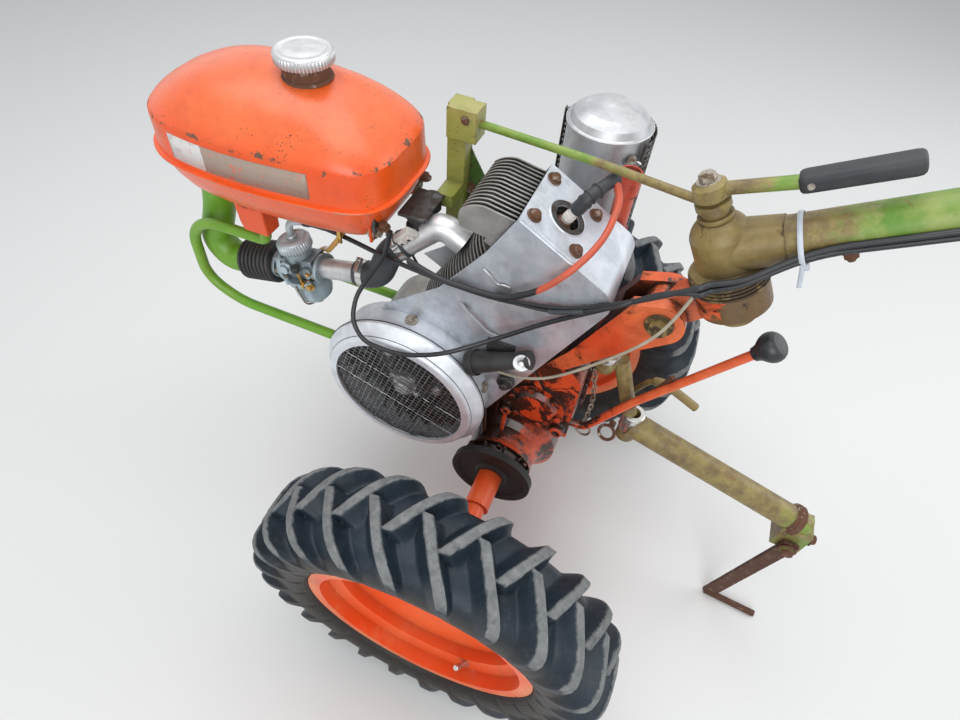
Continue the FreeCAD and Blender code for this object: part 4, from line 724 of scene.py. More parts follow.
# %% Smooth lines
def smooth_line(points, per=6, closed=False):
    """Points on a smooth line through the given ones, in millimetres."""
    spots = [Vector(p) for p in points]
    last = len(spots) - 1
    line = []
    for i in range(last + closed):
        if closed:
            a, b, c, d = (spots[(i + k) % len(spots)] for k in (-1, 0, 1, 2))
        else:
            a, b, c, d = (spots[min(max(i + k, 0), last)] for k in (-1, 0, 1, 2))
        for t in (step / per for step in range(per)):
            line.append(0.5 * (2 * b + (c - a) * t + (2 * a - 5 * b + 4 * c - d) * t * t
                               + (3 * b - a - 3 * c + d) * t ** 3))
    return line if closed else line + [spots[-1]]


def even_loop(half_plan, count):
    """Even points along a closed smooth line through a mirrored half plan, in millimetres."""
    fine = smooth_line(half_plan + [(x, -y) for x, y in reversed(half_plan[1:-1])], 16, closed=True)
    lengths = [0.0]
    for first, second in zip(fine, fine[1:] + fine[:1]):
        lengths.append(lengths[-1] + (second - first).length)
    spots = []
    for k in range(count):
        goal = lengths[-1] * k / count
        i = max(j for j in range(len(fine)) if lengths[j] <= goal)
        share = (goal - lengths[i]) / (lengths[i + 1] - lengths[i])
        spots.append(fine[i].lerp(fine[(i + 1) % len(fine)], share))
    return spots


print("points on a smooth line", len(smooth_line([(0, 0, 0), (10, 0, 0), (10, 10, 0)])))

# %% [markdown]
# The tank is pressed from two sheets: a domed top with a crisp edge, a short side wall, and a lower pan,
# welded together at a lip that runs all round. It is built as a stack of level outlines. The outline is a few
# points of half the plan, and the dome is a formula, so the sheet stays smooth however it is divided.

# %% Fuel tank
TANK_PLAN = [(531, 0), (527, 34), (508, 69), (470, 94), (414, 104), (348, 105), (282, 99), (226, 89),
             (198, 73), (184, 44), (182, 0)]
TANK_POINTS = 160
LOWER_PAN = [(46, 632), (38, 633), (30, 637), (19, 649), (9, 668), (3, 686), (1, 692)]  # inset, height
LIP = [(-3.5, 692.6), (-4.2, 694), (-3.5, 695.6), (1.0, 696.4)]
SIDE_WALL = [(1.6, 700), (2.6, 720), (3.4, 737), (4.2, 741)]
CREASE, DOME = 742.5, 57.5  # heights of the crease above the floor, and of the dome above the crease
DOME_SHARES = (0.985, 0.96, 0.92, 0.86, 0.78, 0.68, 0.56, 0.42, 0.26, 0.10)


def tangent(plan, k):
    return (plan[(k + 1) % len(plan)] - plan[k - 1]).normalized()


def at_height(spot, height):
    """A point of a plan at a height, in metres."""
    return Vector((spot.x, spot.y, height)) * MM


tank_plan = even_loop(TANK_PLAN, TANK_POINTS)
tank_middle = Vector((350, 0))
inward = [Vector((-way.y, way.x)) for way in (tangent(tank_plan, k) for k in range(TANK_POINTS))]
outlines = []
for inset, height in LOWER_PAN + LIP + SIDE_WALL:
    outlines.append([at_height(spot + way * inset, height) for spot, way in zip(tank_plan, inward)])
for share in DOME_SHARES:
    height = CREASE + DOME * (1 - share ** 2.3) ** 0.85
    outlines.append([at_height(tank_middle + (spot - tank_middle) * 0.965 * share, height)
                     for spot in tank_plan])
mesh = bmesh.new()
loft(mesh, outlines)
tank = close_piece("fuel_tank_sheet", mesh, tank_paint, sharp=24)
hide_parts("fuel_tank")
print("tank faces", len(tank.data.polygons))

# %% [markdown]
# The label on the tank's side stays blank: a pale block and a taupe band whose edges have curled and worn. It
# is a strip of the side wall itself, lifted by half a millimetre, and its colour changes along the strip.

# %% Blank band on the tank's side
def band_finish(name, block_end):
    r = Recipe(name)
    block = r.sum("GREATER_THAN", r.axis("X"), block_end)
    colour = r.mix(block, (0.36, 0.27, 0.22), (0.66, 0.64, 0.62))
    worn = r.between(r.plus(r.noise(70, 8, 0.75), r.times(r.noise(9, 3), 0.2)), 0.71, 0.75)
    colour = r.mix(worn, colour, (0.84, 0.10, 0.010))
    colour = r.mix(r.between(r.noise(150, 5), 0.55, 0.75, 0, 0.5), colour, (0.20, 0.16, 0.13))
    return r.finish(colour, 0.5, None, 0.1)


mesh = bmesh.new()
low_edge, high_edge = [], []
BAND_START, BAND_END = 262, 458
for k, spot in enumerate(tank_plan):
    if spot.y > 0 and BAND_START < spot.x < BAND_END:
        way = tangent(tank_plan, k)
        outward = Vector((way.y, -way.x)) * math.copysign(1, -way.x)
        for line, inset, height in ((low_edge, 1.8, 702), (high_edge, 3.2, 735)):
            line.append(mesh.verts.new(at_height(spot - outward * (inset - 0.5), height)))
skin(mesh, [low_edge, high_edge], cyclic=False)
band = close_piece("tank_side_band", mesh, band_finish("band_blank", 0.402))
thickness = band.modifiers.new("thickness", "SOLIDIFY")
thickness.thickness = 0.3 * MM
print("band points", len(low_edge))

# %% [markdown]
# The filler cap is a pressed alloy cup with a knurled rim over a rusty neck. The knurl is a real relief, made
# by moving two of every four points of the rim inward, because it shows on the outline against the tank.

# %% Filler cap and neck
def knurled(mesh, matrix, radius, low, high, teeth, depth):
    """Add a ring with upright ridges, open above and below."""
    rings = []
    for height, inset in ((low, 1.0), (low + 0.8, 0), (high - 0.8, 0), (high, 1.0)):
        ring = []
        for k, (c, s) in enumerate(around(teeth * 4)):
            reach = (radius - inset - (depth if k % 4 < 2 else 0)) * MM
            ring.append(mesh.verts.new(matrix @ Vector((reach * c, reach * s, height * MM))))
        rings.append(ring)
    skin(mesh, rings)


filler_place = at((312, 0, 0))
mesh = bmesh.new()
knurled(mesh, filler_place, 34.5, 813, 824, 52, 1.2)
lathe(mesh, [(33.3, 813), (30, 813), (28.5, 815)], filler_place, 72)
lathe(mesh, [(33.3, 823.8), (32.2, 825.6), (30.0, 826.6), (27.6, 826.2), (26.0, 825.2), (22, 825.6),
             (18, 826.6), (10, 827.4), (0, 827.7)], filler_place, 72)
cap = close_piece("filler_cap", mesh, bright_alloy, sharp=50)
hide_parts("fuel_cap")
mesh = bmesh.new()
lathe(mesh, [(31, 795), (29.5, 798), (27.5, 799), (27.5, 814), (26, 814)], filler_place, 64)
close_piece("filler_neck", mesh, nut_rust)
print("cap on", cap.name)

# %% [markdown]
# Wires, links and clips are pipes along a smooth line. The ring of the pipe is carried along the line without
# twist, so one helper makes hoses, chain links and cable ties inside a single mesh.

# %% Helpers for pipes and straps
def pipe(mesh, line, radius, steps=12, closed=False, flat=1.0, across=None):
    """Add a tube along a line; flat squeezes it, and radius may be a list, one for each point."""
    count = len(line)
    radii = radius if isinstance(radius, list) else [radius] * count
    side = Vector(across) if across else Vector((0.31, 0.52, 0.79))
    outlines = []
    for i, spot in enumerate(line):
        ahead = line[(i + 1) % count] if closed or i < count - 1 else spot
        behind = line[i - 1] if closed or i > 0 else spot
        way = (ahead - behind).normalized()
        side = (side - way * side.dot(way)).normalized()
        up = way.cross(side)
        outlines.append([(spot + (side * c * radii[i] + up * s * radii[i] * flat)) * MM
                         for c, s in around(steps)])
    loft(mesh, outlines, closed)


def circle(middle, normal, radius, count=48):
    """Points of a circle about a direction, in millimetres."""
    turn = at((0, 0, 0), normal).to_3x3()
    return [Vector(middle) + turn @ Vector((radius * c, radius * s, 0)) for c, s in around(count)]


print("points round a clamp", len(circle((0, 0, 0), LEFT, 19)))

# %% [markdown]
# The tyres have the deep slanting bars of a traction tyre. Each bar begins a little past the middle of the
# tread, touches the flank of the bar before it, and runs down over the shoulder. The whole tyre is one height
# field: every point lies between a carcass outline and an outer outline, and its share depends on its
# distance from the nearest bar. A share raised to a power makes the hollow flanks that the photo shows.

# %% Tyre outlines and bars
CARCASS = [(0, 238.5), (12, 238.2), (24, 237), (34, 235), (42, 231), (49, 225), (54, 217.5), (57, 209),
           (58.6, 200), (58.6, 191), (57, 183), (54.4, 176), (50.5, 171), (47.2, 168), (44.5, 167.6)]
OUTER = [(0, 261.7), (12.5, 261.6), (25, 261.0), (35.5, 259.4), (45, 255.6), (53, 249.5), (58.6, 241),
         (61.6, 231), (62.6, 220), (62.2, 209), (60.3, 198), (56.4, 184), (51, 171.5), (47.2, 168),
         (44.5, 167.6)]
SWEEP = [0, 0.15, 0.31, 0.46, 0.61, 0.75, 0.87, 0.95, 1.0, 1.02, 1.03, 1.03, 1.03, 1.03, 1.03]
HALF_TOP = [6.6, 6.2, 6.2, 6.4, 6.8, 7.2, 7.5, 7.5, 7.3, 6.8, 6, 5, 4, 4, 4]
FLANK = [15, 15, 15, 15, 14, 13, 12, 10, 8, 6, 5, 4, 3, 3, 3]
BARS = 24
INNER_END = 21  # how far a bar reaches past the middle, in millimetres
SWEEP_TURN = math.radians(11.0)
MIDDLE_LEAN = 0.0122  # sweep for each millimetre past the middle
MEAN_RADIUS = 250
HOLLOW = 1.55


def between_rows(table, row):
    """A value between the rows of a table."""
    low = min(int(row), len(table) - 2)
    share = row - low
    first, second = table[low], table[low + 1]
    if isinstance(first, tuple):
        return tuple(a + (b - a) * share for a, b in zip(first, second))
    return first + (second - first) * share


def bar_share(angle, row, side):
    """How far a point of the tread is raised, from 0 in a valley to 1 on a bar."""
    pitch = 2 * math.pi / BARS
    across = between_rows(OUTER, row)[0] * side
    best = 0.0
    for bar_side, start in ((1, 0.0), (-1, 0.5)):
        along = across * bar_side
        if along < -INNER_END:
            continue
        lean = between_rows(SWEEP, row) if along >= 0 else along * MIDDLE_LEAN
        centre = start * pitch + lean * SWEEP_TURN
        gap = abs((angle - centre + pitch / 2) % pitch - pitch / 2) * MEAN_RADIUS
        share = 1 - (gap - between_rows(HALF_TOP, row)) / between_rows(FLANK, row)
        share = min(1.0, max(0.0, share)) * min(1.0, max(0.0, (along + INNER_END) / 4))
        best = max(best, share ** HOLLOW)
    return best


def tyre_piece(side_name, middle_y):
    """A tyre as one height field, with its crown share kept for the material."""
    steps = BARS * 36
    rows = [k / 8 for k in range(16)] + [2 + k / 2.5 for k in range(18)] + [9 + k / 1.6 for k in range(9)]
    strip = [(row, -1) for row in reversed(rows[1:])] + [(row, 1) for row in rows]
    wear = [chance.uniform(-0.5, 0.3) for _ in range(2 * BARS + 1)]
    mesh = bmesh.new()
    crown = mesh.verts.layers.float.new("crown")
    rings = []
    for row, side in strip:
        low, high = between_rows(CARCASS, row), between_rows(OUTER, row)
        skew = between_rows(SWEEP, row) * SWEEP_TURN
        ring = []
        for k in range(steps):
            angle = 2 * math.pi * k / steps + skew
            share = bar_share(angle, row, side)
            raised = share * (1 + 0.02 * wear[int(2 * BARS * k / steps)] * (side + 2))
            radius = low[1] + (high[1] - low[1]) * min(raised, 1.0)
            across = low[0] + (high[0] - low[0]) * share
            spot = (radius * math.cos(angle), middle_y + side * across,
                    AXLE_HEIGHT + radius * math.sin(angle))
            vert = mesh.verts.new(Vector(spot) * MM)
            vert[crown] = share
            ring.append(vert)
        rings.append(ring)
    skin(mesh, rings)
    return close_piece("tyre_%s_tread" % side_name, mesh, tyre_tread, "wheel_%s" % side_name,
                       sharp=40)

# %% [markdown]
# The rubber is blue-black and almost clean on the flanks. The tops of the bars are grey with ground-in dust,
# and the wall near the rim is brown. The crown share of the mesh tells the material where the tops are.

# %% Tyre material and both tyres
def tread_finish(name):
    r = Recipe(name)
    crown = r.add("ShaderNodeAttribute", attribute_name="crown").outputs["Fac"]
    reach = r.from_axle()
    rubber = r.mix(r.between(r.noise(14, 5), 0.3, 0.7), (0.010, 0.016, 0.024), (0.022, 0.034, 0.048))
    rubber = r.mix(r.between(r.noise(60, 6, 0.7), 0.52, 0.72, 0.0, 0.5), rubber, (0.050, 0.060, 0.070))
    dust = r.mix(r.between(r.noise(90, 6, 0.7), 0.3, 0.7), (0.13, 0.14, 0.145), (0.27, 0.275, 0.27))
    worn = r.plus(crown, r.between(r.noise(80, 5, 0.7), 0.3, 0.7, -0.10, 0.06))
    worn = r.sum("SUBTRACT", worn, r.between(reach, 0.236, 0.216, 0.0, 0.25))
    colour = r.mix(r.between(worn, 0.84, 0.95, 0.0, 0.92), rubber, dust)
    low_wall = r.between(reach, 0.226, 0.200)
    brown = r.mix(r.noise(40, 6), (0.028, 0.021, 0.015), (0.010, 0.009, 0.008))
    colour = r.mix(r.times(low_wall, r.between(r.noise(22, 5), 0.25, 0.6, 0.6, 1.0)), colour, brown)
    scrape = r.between(r.noise(170, 6, 0.75), 0.62, 0.72, 0.0, 0.5)
    colour = r.mix(scrape, colour, (0.13, 0.13, 0.125))
    r.height(r.noise(110, 6, 0.7), 0.35, 0.0010)
    rings = r.sum("SINE", r.times(reach, 1400), 0.0)
    r.height(r.times(rings, r.between(reach, 0.200, 0.190)), 0.25, 0.0006)
    r.shader.inputs["Specular IOR Level"].default_value = 0.25
    return r.finish(colour, r.between(worn, 0.8, 1.0, 0.44, 0.82), None, 0.0)


tyre_tread = tread_finish("tyre_tread")
WHEEL_Y = {"left": 330, "right": -270}
for side, middle_y in WHEEL_Y.items():
    tyre = tyre_piece(side, middle_y)
    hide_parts("tyre_%s" % side)
    print("tyre", side, "faces", len(tyre.data.polygons))

# %% [markdown]
# The fan breathes through a woven wire mesh behind the cover's lip. Each wire waves over and under the wires
# it crosses. A radius of 0.6 mm is enough for the light to pick them out, and they are four-sided, because
# there are more than fifty of them.

# %% Woven mesh over the fan
CRANK = Vector((162, 0, 388))
MESH_Y, MESH_RADIUS, WIRE_PITCH, WIRE_RADIUS = 101.5, 107.0, 8.0, 0.62
mesh = bmesh.new()
wires = 0
for family in (0, 1):
    for k in range(-13, 14):
        offset = k * WIRE_PITCH
        half = math.sqrt(max(MESH_RADIUS ** 2 - offset ** 2, 0))
        if half < WIRE_PITCH:
            continue
        line = []
        for j in range(int(-half / WIRE_PITCH) - 1, int(half / WIRE_PITCH) + 2):
            along = max(-half, min(half, j * WIRE_PITCH))
            wave = 0.45 * (1 if (j + k + family) % 2 else -1)
            x, z = (along, offset) if family else (offset, along)
            line.append(CRANK + Vector((x * 0.94 - z * 0.34, MESH_Y + wave, x * 0.34 + z * 0.94)))
        line = [p for i, p in enumerate(line) if i == 0 or (p - line[i - 1]).length > 0.5]
        pipe(mesh, line, WIRE_RADIUS, 4)
        wires += 1
pipe(mesh, circle(CRANK + Vector((0, MESH_Y, 0)), LEFT, MESH_RADIUS, 72), 1.6, 6, closed=True)
fan_mesh = close_piece("fan_wire_mesh", mesh, wire_grey)
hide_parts("fan_grille")
print("mesh wires", wires)

# %% [markdown]
# Four domed nuts hold the shroud's plate to the cylinder head, and their iron is brown with rust. They stand
# square to the bore, so the bore's direction is named once. The spark plug comes through a hole between them:
# a steel hexagon, a ribbed white insulator, and a rubber boot pushed over its terminal.

# %% Head nuts, spark plug and boot
BORE, ALONG_HEAD = Vector((-0.4924, 0, 0.8704)), Vector((0.8704, 0, 0.4924))
BASE = Vector((162, -10, 388))
PLATE = 362  # from the crankshaft to the shroud's plate


def up_bore(along, across, height):
    """A point in millimetres: along the shroud, across it, and up the bore from the crankshaft."""
    return BASE + ALONG_HEAD * along + Vector((0, across, 0)) + BORE * height


def foot_on_plate(place):
    """Slide a point along the bore onto the shroud's plate."""
    spot = Vector(place)
    return spot + BORE * (PLATE - (spot - BASE).dot(BORE))


mesh = bmesh.new()
for spot in ((13, -48, 727), (12, 28, 726), (-45, -48, 694), (-42, 28, 695)):
    cap_nut(mesh, foot_on_plate(spot), BORE, 12.5, 9.5)
close_piece("head_nuts", mesh, nut_rust, bevel=0.4)
mesh = bmesh.new()
plug_place = at(up_bore(0, 0, 0), BORE)
lathe(mesh, [(0, 312), (6, 312), (6, 330), (13.5, 331), (13.5, 336), (0, 336)], plug_place, 32)
prism(mesh, hexagon(21), 336, 352, plug_place)
lathe(mesh, [(10, 352), (9.4, 355), (8, 357), (6.6, 358), (0, 358)], plug_place, 32)
plug = close_piece("plug_body", mesh, nut_rust, bevel=0.4)
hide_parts("spark_plug")
mesh = bmesh.new()
lathe(mesh, [(6.8, 356), (6.8, 361), (7.4, 362), (6.6, 363.5), (7.4, 365), (6.6, 366.5), (7.4, 368),
             (6.6, 369.5), (6.4, 371), (6.4, 380), (0, 380)], plug_place, 32)
close_piece("plug_insulator", mesh, ceramic)
mesh = bmesh.new()
boot = smooth_line([up_bore(0, 0, 377), up_bore(0, 0, 388), (-35, -13, 736), (-45, -31, 741.5),
                    (-55, -49, 746)], 5)
pipe(mesh, boot, [8.8 if i < 5 else 9.0 - 0.08 * i for i in range(len(boot))], 20)
for i in (7, 10, 13):
    lathe(mesh, [(8.0, -1.4), (9.6, -0.9), (9.6, 0.9), (8.0, 1.4)], at(boot[i], boot[i + 1] - boot[i]), 20)
close_piece("plug_boot", mesh, grip_black)
mesh = bmesh.new()
lathe(mesh, [(24.0, 362.2), (25.0, 363.0), (26.0, 363.0), (26.8, 361.9)], plug_place, 56)
pipe(mesh, [up_bore(47 - 8 * k, 59.8, 361.6) for k in range(11)], 1.5, 8)
pipe(mesh, [up_bore(47 - 8 * k, 54.5, 362.1) for k in range(11)], 0.9, 8)
close_piece("plate_beads", mesh, shroud_silver)
mesh = bmesh.new()
lathe(mesh, [(17.2, 359), (17.2, 362.25), (24.2, 362.35)], plug_place, 56)
close_piece("plug_well", mesh, dark_steel)
print("plate nuts 4, boot points", len(boot))

# %% [markdown]
# The carburettor was cast in zinc and has turned pale blue-grey. What makes it read as one is on its outside:
# a knurled cap, a wire clip that holds the float bowl, brass fittings, small screws, and a flange at each
# end. All of it stands on the slide's own leaning axis.

# %% Carburettor fittings
AHEAD = Vector((0.9703, 0, -0.2419))
SLIDE = Vector((0.2419, 0, 0.9703))
CARB = Vector((350, 30, 514))


def on_carb(along, across, height):
    """A point in millimetres in the carburettor's own directions."""
    return CARB + AHEAD * along + Vector((0, across, 0)) + SLIDE * height


def flange_ears():
    """The places of the four screws round the float bowl."""
    turned = cap_place.to_3x3()
    return [CARB + (turned @ Vector((c, s, 0))) * 32 for c, s in around(4, math.radians(40))]


cap_cast = cast_alloy("cap_cast", (0.62, 0.70, 0.74), (0.42, 0.49, 0.53), 0.8, 0.38, 0.25, 0.3)
mesh = bmesh.new()
cap_place = at(on_carb(0, 0, 0), SLIDE)
knurled(mesh, cap_place, 25, 33, 47, 36, 1.3)
lathe(mesh, [(24, 33), (17, 33)], cap_place, 48)
lathe(mesh, [(23.9, 47), (22, 50), (18, 51.2), (17, 50.4), (8, 50.8), (0, 51)], cap_place, 48)
elbow = smooth_line([on_carb(0, 0, 50), (363, 30, 574), (361, 30, 586), (352, 30, 594), (338, 30, 599),
                     (326, 31, 602)], 5)
pipe(mesh, elbow, 5.2, 14)
lathe(mesh, [(0, 50), (7.5, 50), (7.5, 54), (6, 55.5), (0, 55.5)], cap_place, 24)
close_piece("carburettor_cap", mesh, cap_cast, sharp=50)
mesh = bmesh.new()
for along in (41, -35):
    place = at(on_carb(along, 0, 0), AHEAD)
    prism(mesh, [(18 * s + 3.5 * s ** 3, 25 * c) for c, s in around(36)], -2.5, 2.5, place)
lathe(mesh, [(13, -14), (13, -10), (10, -9), (10, 8), (7, 9), (7, 14), (0, 14)],
      at(on_carb(12, 17, 12), LEFT), 28)
lathe(mesh, [(9, -6), (9, 5), (7.5, 6), (0, 6)], at(on_carb(-20, 17, 2), (0.3, 1, 0.2)), 24)
lathe(mesh, [(20, -12), (31, -12), (32, -13.5), (32, -20), (30.5, -21.5), (28.5, -22), (28, -42), (25, -52),
             (18, -58), (8, -60.5), (0, -61)], cap_place, 48)
lathe(mesh, [(18, -12), (20.5, 0), (21, 20), (20, 34)], cap_place, 40)
prism(mesh, [(-17, -17), (17, -17), (17, 17), (-17, 17)], -30, 38, at(on_carb(0, 0, 4), AHEAD))
lathe(mesh, [(21, 8), (25.5, 8), (26.5, 10), (26.5, 14), (25.5, 16), (21, 16)], at(on_carb(16, 0, 0), AHEAD),
      40)
for ear in flange_ears():
    lathe(mesh, [(0, -21), (5, -21), (5, -9), (0, -9)], at(ear, SLIDE), 16)
close_piece("carburettor_castings", mesh, carb_alloy, bevel=0.6)
print("carburettor cap at", [round(v) for v in on_carb(0, 0, 50)])

# %% [markdown]
# Small fittings of other metals stand on the castings: steel screws and the clip of the float bowl, brass
# jets, and the choke's stem with its black knob. They are what gives the carburettor its scale.

# %% Carburettor screws, clip and choke
mesh = bmesh.new()
for along, way in ((38.4, -AHEAD), (-32.4, AHEAD)):
    for across in (-19.5, 19.5):
        hex_bolt(mesh, on_carb(along, across, 0), way, 8, 4.5, 1)
for ear in flange_ears():
    lathe(mesh, [(0, -9), (3.2, -9), (3.2, -6.6), (2.4, -6), (0, -6)], at(ear, SLIDE), 14)
hoop = [(-32.6, -14), (-32, -28), (-30, -48), (-19, -59), (0, -63), (19, -59), (30, -48), (32, -28),
        (32.6, -14)]
pipe(mesh, smooth_line([on_carb(0, y, h) for y, h in hoop], 4), 1.3, 8)
hex_bolt(mesh, on_carb(0, 0, -60), -SLIDE, 13, 7, 1)
close_piece("carburettor_screws", mesh, bolt_steel)
choke_place = at((338, 56, 503), (0.2, 0.1, 1))
mesh = bmesh.new()
hex_bolt(mesh, on_carb(-22, 27, -16), (-0.2, 1, 0.2), 8, 5, 1)
hex_bolt(mesh, on_carb(-24, 19, 4), (0, 1, 0.1), 6, 7, 1)
lathe(mesh, [(0, -2), (2, -2), (2, 26), (0, 26)], choke_place, 16)
lathe(mesh, [(0, -8), (4.5, -8), (5.5, -3), (4.5, 2), (0, 2)], choke_place, 20)
close_piece("carburettor_brass", mesh, brass)
mesh = bmesh.new()
lathe(mesh, [(0, 24), (3.5, 24), (6.5, 27), (7, 32), (5.5, 35), (0, 36)], choke_place, 24)
close_piece("choke_knob", mesh, knob_black)
print("carburettor screws", 4 + 4 + 1)

# %% [markdown]
# Worm clamps hold the hose to the pipe and the port. Each is a thin band with a raised screw housing. Beside
# them hangs a cream plastic connector, and an amber hose brings the fuel down from the tap.

# %% Clamps, connector and fuel hose
mesh = bmesh.new()
CLAMPS = [  # place, direction of the hose, radius, direction of the screw
    ((245, 30, 540), AHEAD, 19.0, (0, 0.45, 0.9)),
    ((189, 21, 607), (0.745, 0.284, -0.603), 19.0, (0.5, 0.7, 0.5)),
]
for place, along, radius, screw in CLAMPS:
    matrix = at(place, along)
    lathe(mesh, [(radius, -5), (radius + 0.9, -5), (radius + 0.9, 5), (radius, 5)], matrix, 56)
    along = Vector(along).normalized()
    out = Vector(screw)
    out = (out - along * out.dot(along)).normalized()
    sideways = along.cross(out)
    head = Vector(place) + out * (radius + 4)
    lathe(mesh, [(0, -8), (4.2, -8), (4.2, 7), (3.4, 8), (3.4, 9), (5, 9), (5, 13), (0, 13)],
          at(head, sideways), 18)
close_piece("hose_clamps", mesh, zinc_steel)
connector_way = Vector((-19, 0, 20)).normalized()
connector_place = at((177, 31, 634), connector_way, 0.6)
mesh = bmesh.new()
prism(mesh, [(-9, -5), (9, -5), (9, 3), (6, 5), (-6, 5), (-9, 3)], -15, 15, connector_place)
for low in (-11, 3):
    prism(mesh, [(-6, 4), (6, 4), (5, 9), (-5, 9)], low, low + 8, connector_place)
close_piece("wire_connector", mesh, ceramic, bevel=0.8)
mesh = bmesh.new()
turned_place = connector_place.to_3x3()
for height in (-7, 7):
    spot = connector_place.translation / MM + turned_place @ Vector((0, 9.05, height))
    lathe(mesh, [(0, -1), (2.4, -1), (2.4, 0.1), (0, 0.1)], at(spot, turned_place @ Vector(LEFT)), 16)
    wire_end = connector_place.translation / MM + turned_place @ Vector((-14, 0, height))
    pipe(mesh, smooth_line([wire_end, wire_end + turned_place @ Vector((-12, 2, 0)),
                            wire_end + Vector((14, -6, -28)), wire_end + Vector((4, -10, -60))], 5), 1.7, 8)
close_piece("connector_wires", mesh, cable_black)
r = Recipe("fuel_amber")
amber = r.mix(r.between(r.noise(60, 4), 0.35, 0.7), (0.62, 0.36, 0.03), (0.45, 0.13, 0.015))
r.height(r.noise(140, 3), 0.15, 0.0004)
fuel_amber = r.finish(amber, r.between(r.noise(40, 3), 0.3, 0.7, 0.22, 0.45), None, 0.3)
stroke("fuel_hose", [(263, 44, 626), (266, 45, 612), (275, 44, 598), (294, 38, 572), (306, 26, 556),
                     (318, 12, 545), (332, 4, 534), (340, 10, 524)], 3.8, fuel_amber)
mesh = bmesh.new()
lathe(mesh, [(0, 0), (4, 0), (4, 6), (7, 7), (7, 12), (9, 13), (9, 17), (0, 17)], at((263, 44, 617)), 24)
prism(mesh, [(-2.5, -5), (2.5, -5), (2.5, 18), (-2.5, 18)], 3, 6, at((263, 48, 625), LEFT))
close_piece("fuel_tap", mesh, brass)
print("clamps", len(CLAMPS))

# %% [markdown]
# The ignition coil is a rubber cone on a dark bracket. Its fixing bolt sits in a bright ring washer that is
# the palest spot on the engine's side, and a ribbed rubber end closes the cone.

# %% Coil fittings
COIL = Vector((63, 71, 481))
COIL_WAY = (Vector((-11, 71, 525.5)) - COIL).normalized()
mesh = bmesh.new()
WASHER, WASHER_WAY = Vector((-12, 80, 531)), Vector((-0.12, 0.86, 0.5))
lathe(mesh, [(4, 0), (11.5, 0), (11.5, 2), (10.8, 2.6), (5, 2.6), (4, 2)], at(WASHER, WASHER_WAY), 40)
hex_bolt(mesh, WASHER + WASHER_WAY * 1.5, WASHER_WAY, 7, 4, 0.5)
close_piece("coil_washer", mesh, bright_alloy)
mesh = bmesh.new()
end_place = at(COIL + COIL_WAY * 86, COIL_WAY)
lathe(mesh, [(0, -6), (11, -6), (13, -4), (13, 0), (11, 1.5), (13, 3), (13, 6), (11, 7.5), (13, 9), (13, 12),
             (10, 14), (0, 14)], end_place, 36)
lathe(mesh, [(17.6, 2), (18.6, 3), (18.6, 12), (17.6, 13)], at(COIL, COIL_WAY), 40)
close_piece("coil_rubber_end", mesh, rubber_black)
mesh = bmesh.new()
for x, z in ((66, 451), (12, 446), (55, 398)):
    lathe(mesh, [(0, -6), (13, -6), (13, 4), (11, 6), (0, 6)], at((x, 54, z), LEFT), 32)
    hex_bolt(mesh, (x, 60, z), LEFT, 12, 6, 1.5)
close_piece("coil_lugs", mesh, dark_steel, bevel=0.5)
mesh = bmesh.new()
pipe(mesh, smooth_line([(61, 51.5, 642), (52, 53, 637), (42, 52, 626), (33, 53, 628), (25, 51.5, 626)], 5),
     1.4, 8)
pipe(mesh, smooth_line([(86, 52, 571), (76, 57, 566), (59, 58, 553), (46, 57, 541), (35, 52, 534)], 5), 4.2,
     8, flat=0.5)
close_piece("shroud_clips", mesh, bright_alloy)
print("coil washer", [round(v) for v in WASHER])

# %% [markdown]
# The fan cover is two pressings that meet at a dark seam, and screws hold it to the drum. Behind the wire
# mesh the rotor's nut and bolts catch the light, so they ride with the fan.

# %% Fan cover seam, screws and hub
mesh = bmesh.new()
pipe(mesh, circle(CRANK + Vector((0, 81.2, 0)), LEFT, 131.2, 120), 0.9, 8, closed=True)
pipe(mesh, circle(CRANK + Vector((0, 101.2, 0)), LEFT, 118.6, 120), 0.7, 8, closed=True)
close_piece("fan_cover_seam", mesh, cable_black)
mesh = bmesh.new()
for c, s in around(5, math.radians(20)):
    out = Vector((c, 0, s))
    spot = CRANK + out * 127 + Vector((0, 60, 0))
    hex_bolt(mesh, spot - out * 2.5, out, 9, 4, 1.2)
    lathe(mesh, [(0, -3), (9, -3), (9, 0), (0, 0)], at(spot + out * 0.4, out), 20)
close_piece("fan_cover_screws", mesh, bolt_steel)
mesh = bmesh.new()
hex_bolt(mesh, CRANK + Vector((0, 80, 0)), LEFT, 24, 11, 3)
for c, s in around(4, math.radians(35)):
    out = Vector((c, 0, s))
    hex_bolt(mesh, CRANK + out * 24 + Vector((0, 78, 0)), LEFT, 9, 5, 1.5)
    far = CRANK + out * 50 + Vector((0, 48, 0))
    lathe(mesh, [(0, -2), (9, -2), (9, 8), (7, 10), (0, 10)], at(far, LEFT), 24)
close_piece("fan_hub_bolts", mesh, bright_alloy, body="fan")
print("fan cover and hub ready")

# %% [markdown]
# The gearbox is two rough castings bolted together. Bolts stand round the side covers, the axle flanges and
# along the joint. They were painted with the case, so they share its orange and its black oil.

# %% Gearbox bolts
mesh = bmesh.new()
for y, way, z in ((38, 1, 392), (-103, -1, 412)):
    for c, s in around(6, math.radians(15)):
        hex_bolt(mesh, (-36 + 38.5 * c, y, z + 38.5 * s), (0, way, 0), 10, 5, 1)
for way in (1, -1):
    for c, s in around(6, math.radians(30)):
        hex_bolt(mesh, (51 * c, 77 * way, AXLE_HEIGHT + 51 * s), (0, way, 0), 9, 5, 1)
    for x, z in ((-93, 362), (-93, 402), (-92, 440), (-78, 470)):
        hex_bolt(mesh, (x, -32.5 + 4.6 * way, z), (0, way, 0), 9, 5, 1)
close_piece("gearbox_bolts", mesh, case_paint, bevel=0.3)
print("bolts in the gearbox mesh", 6 * 2 + 6 * 2 + 8)

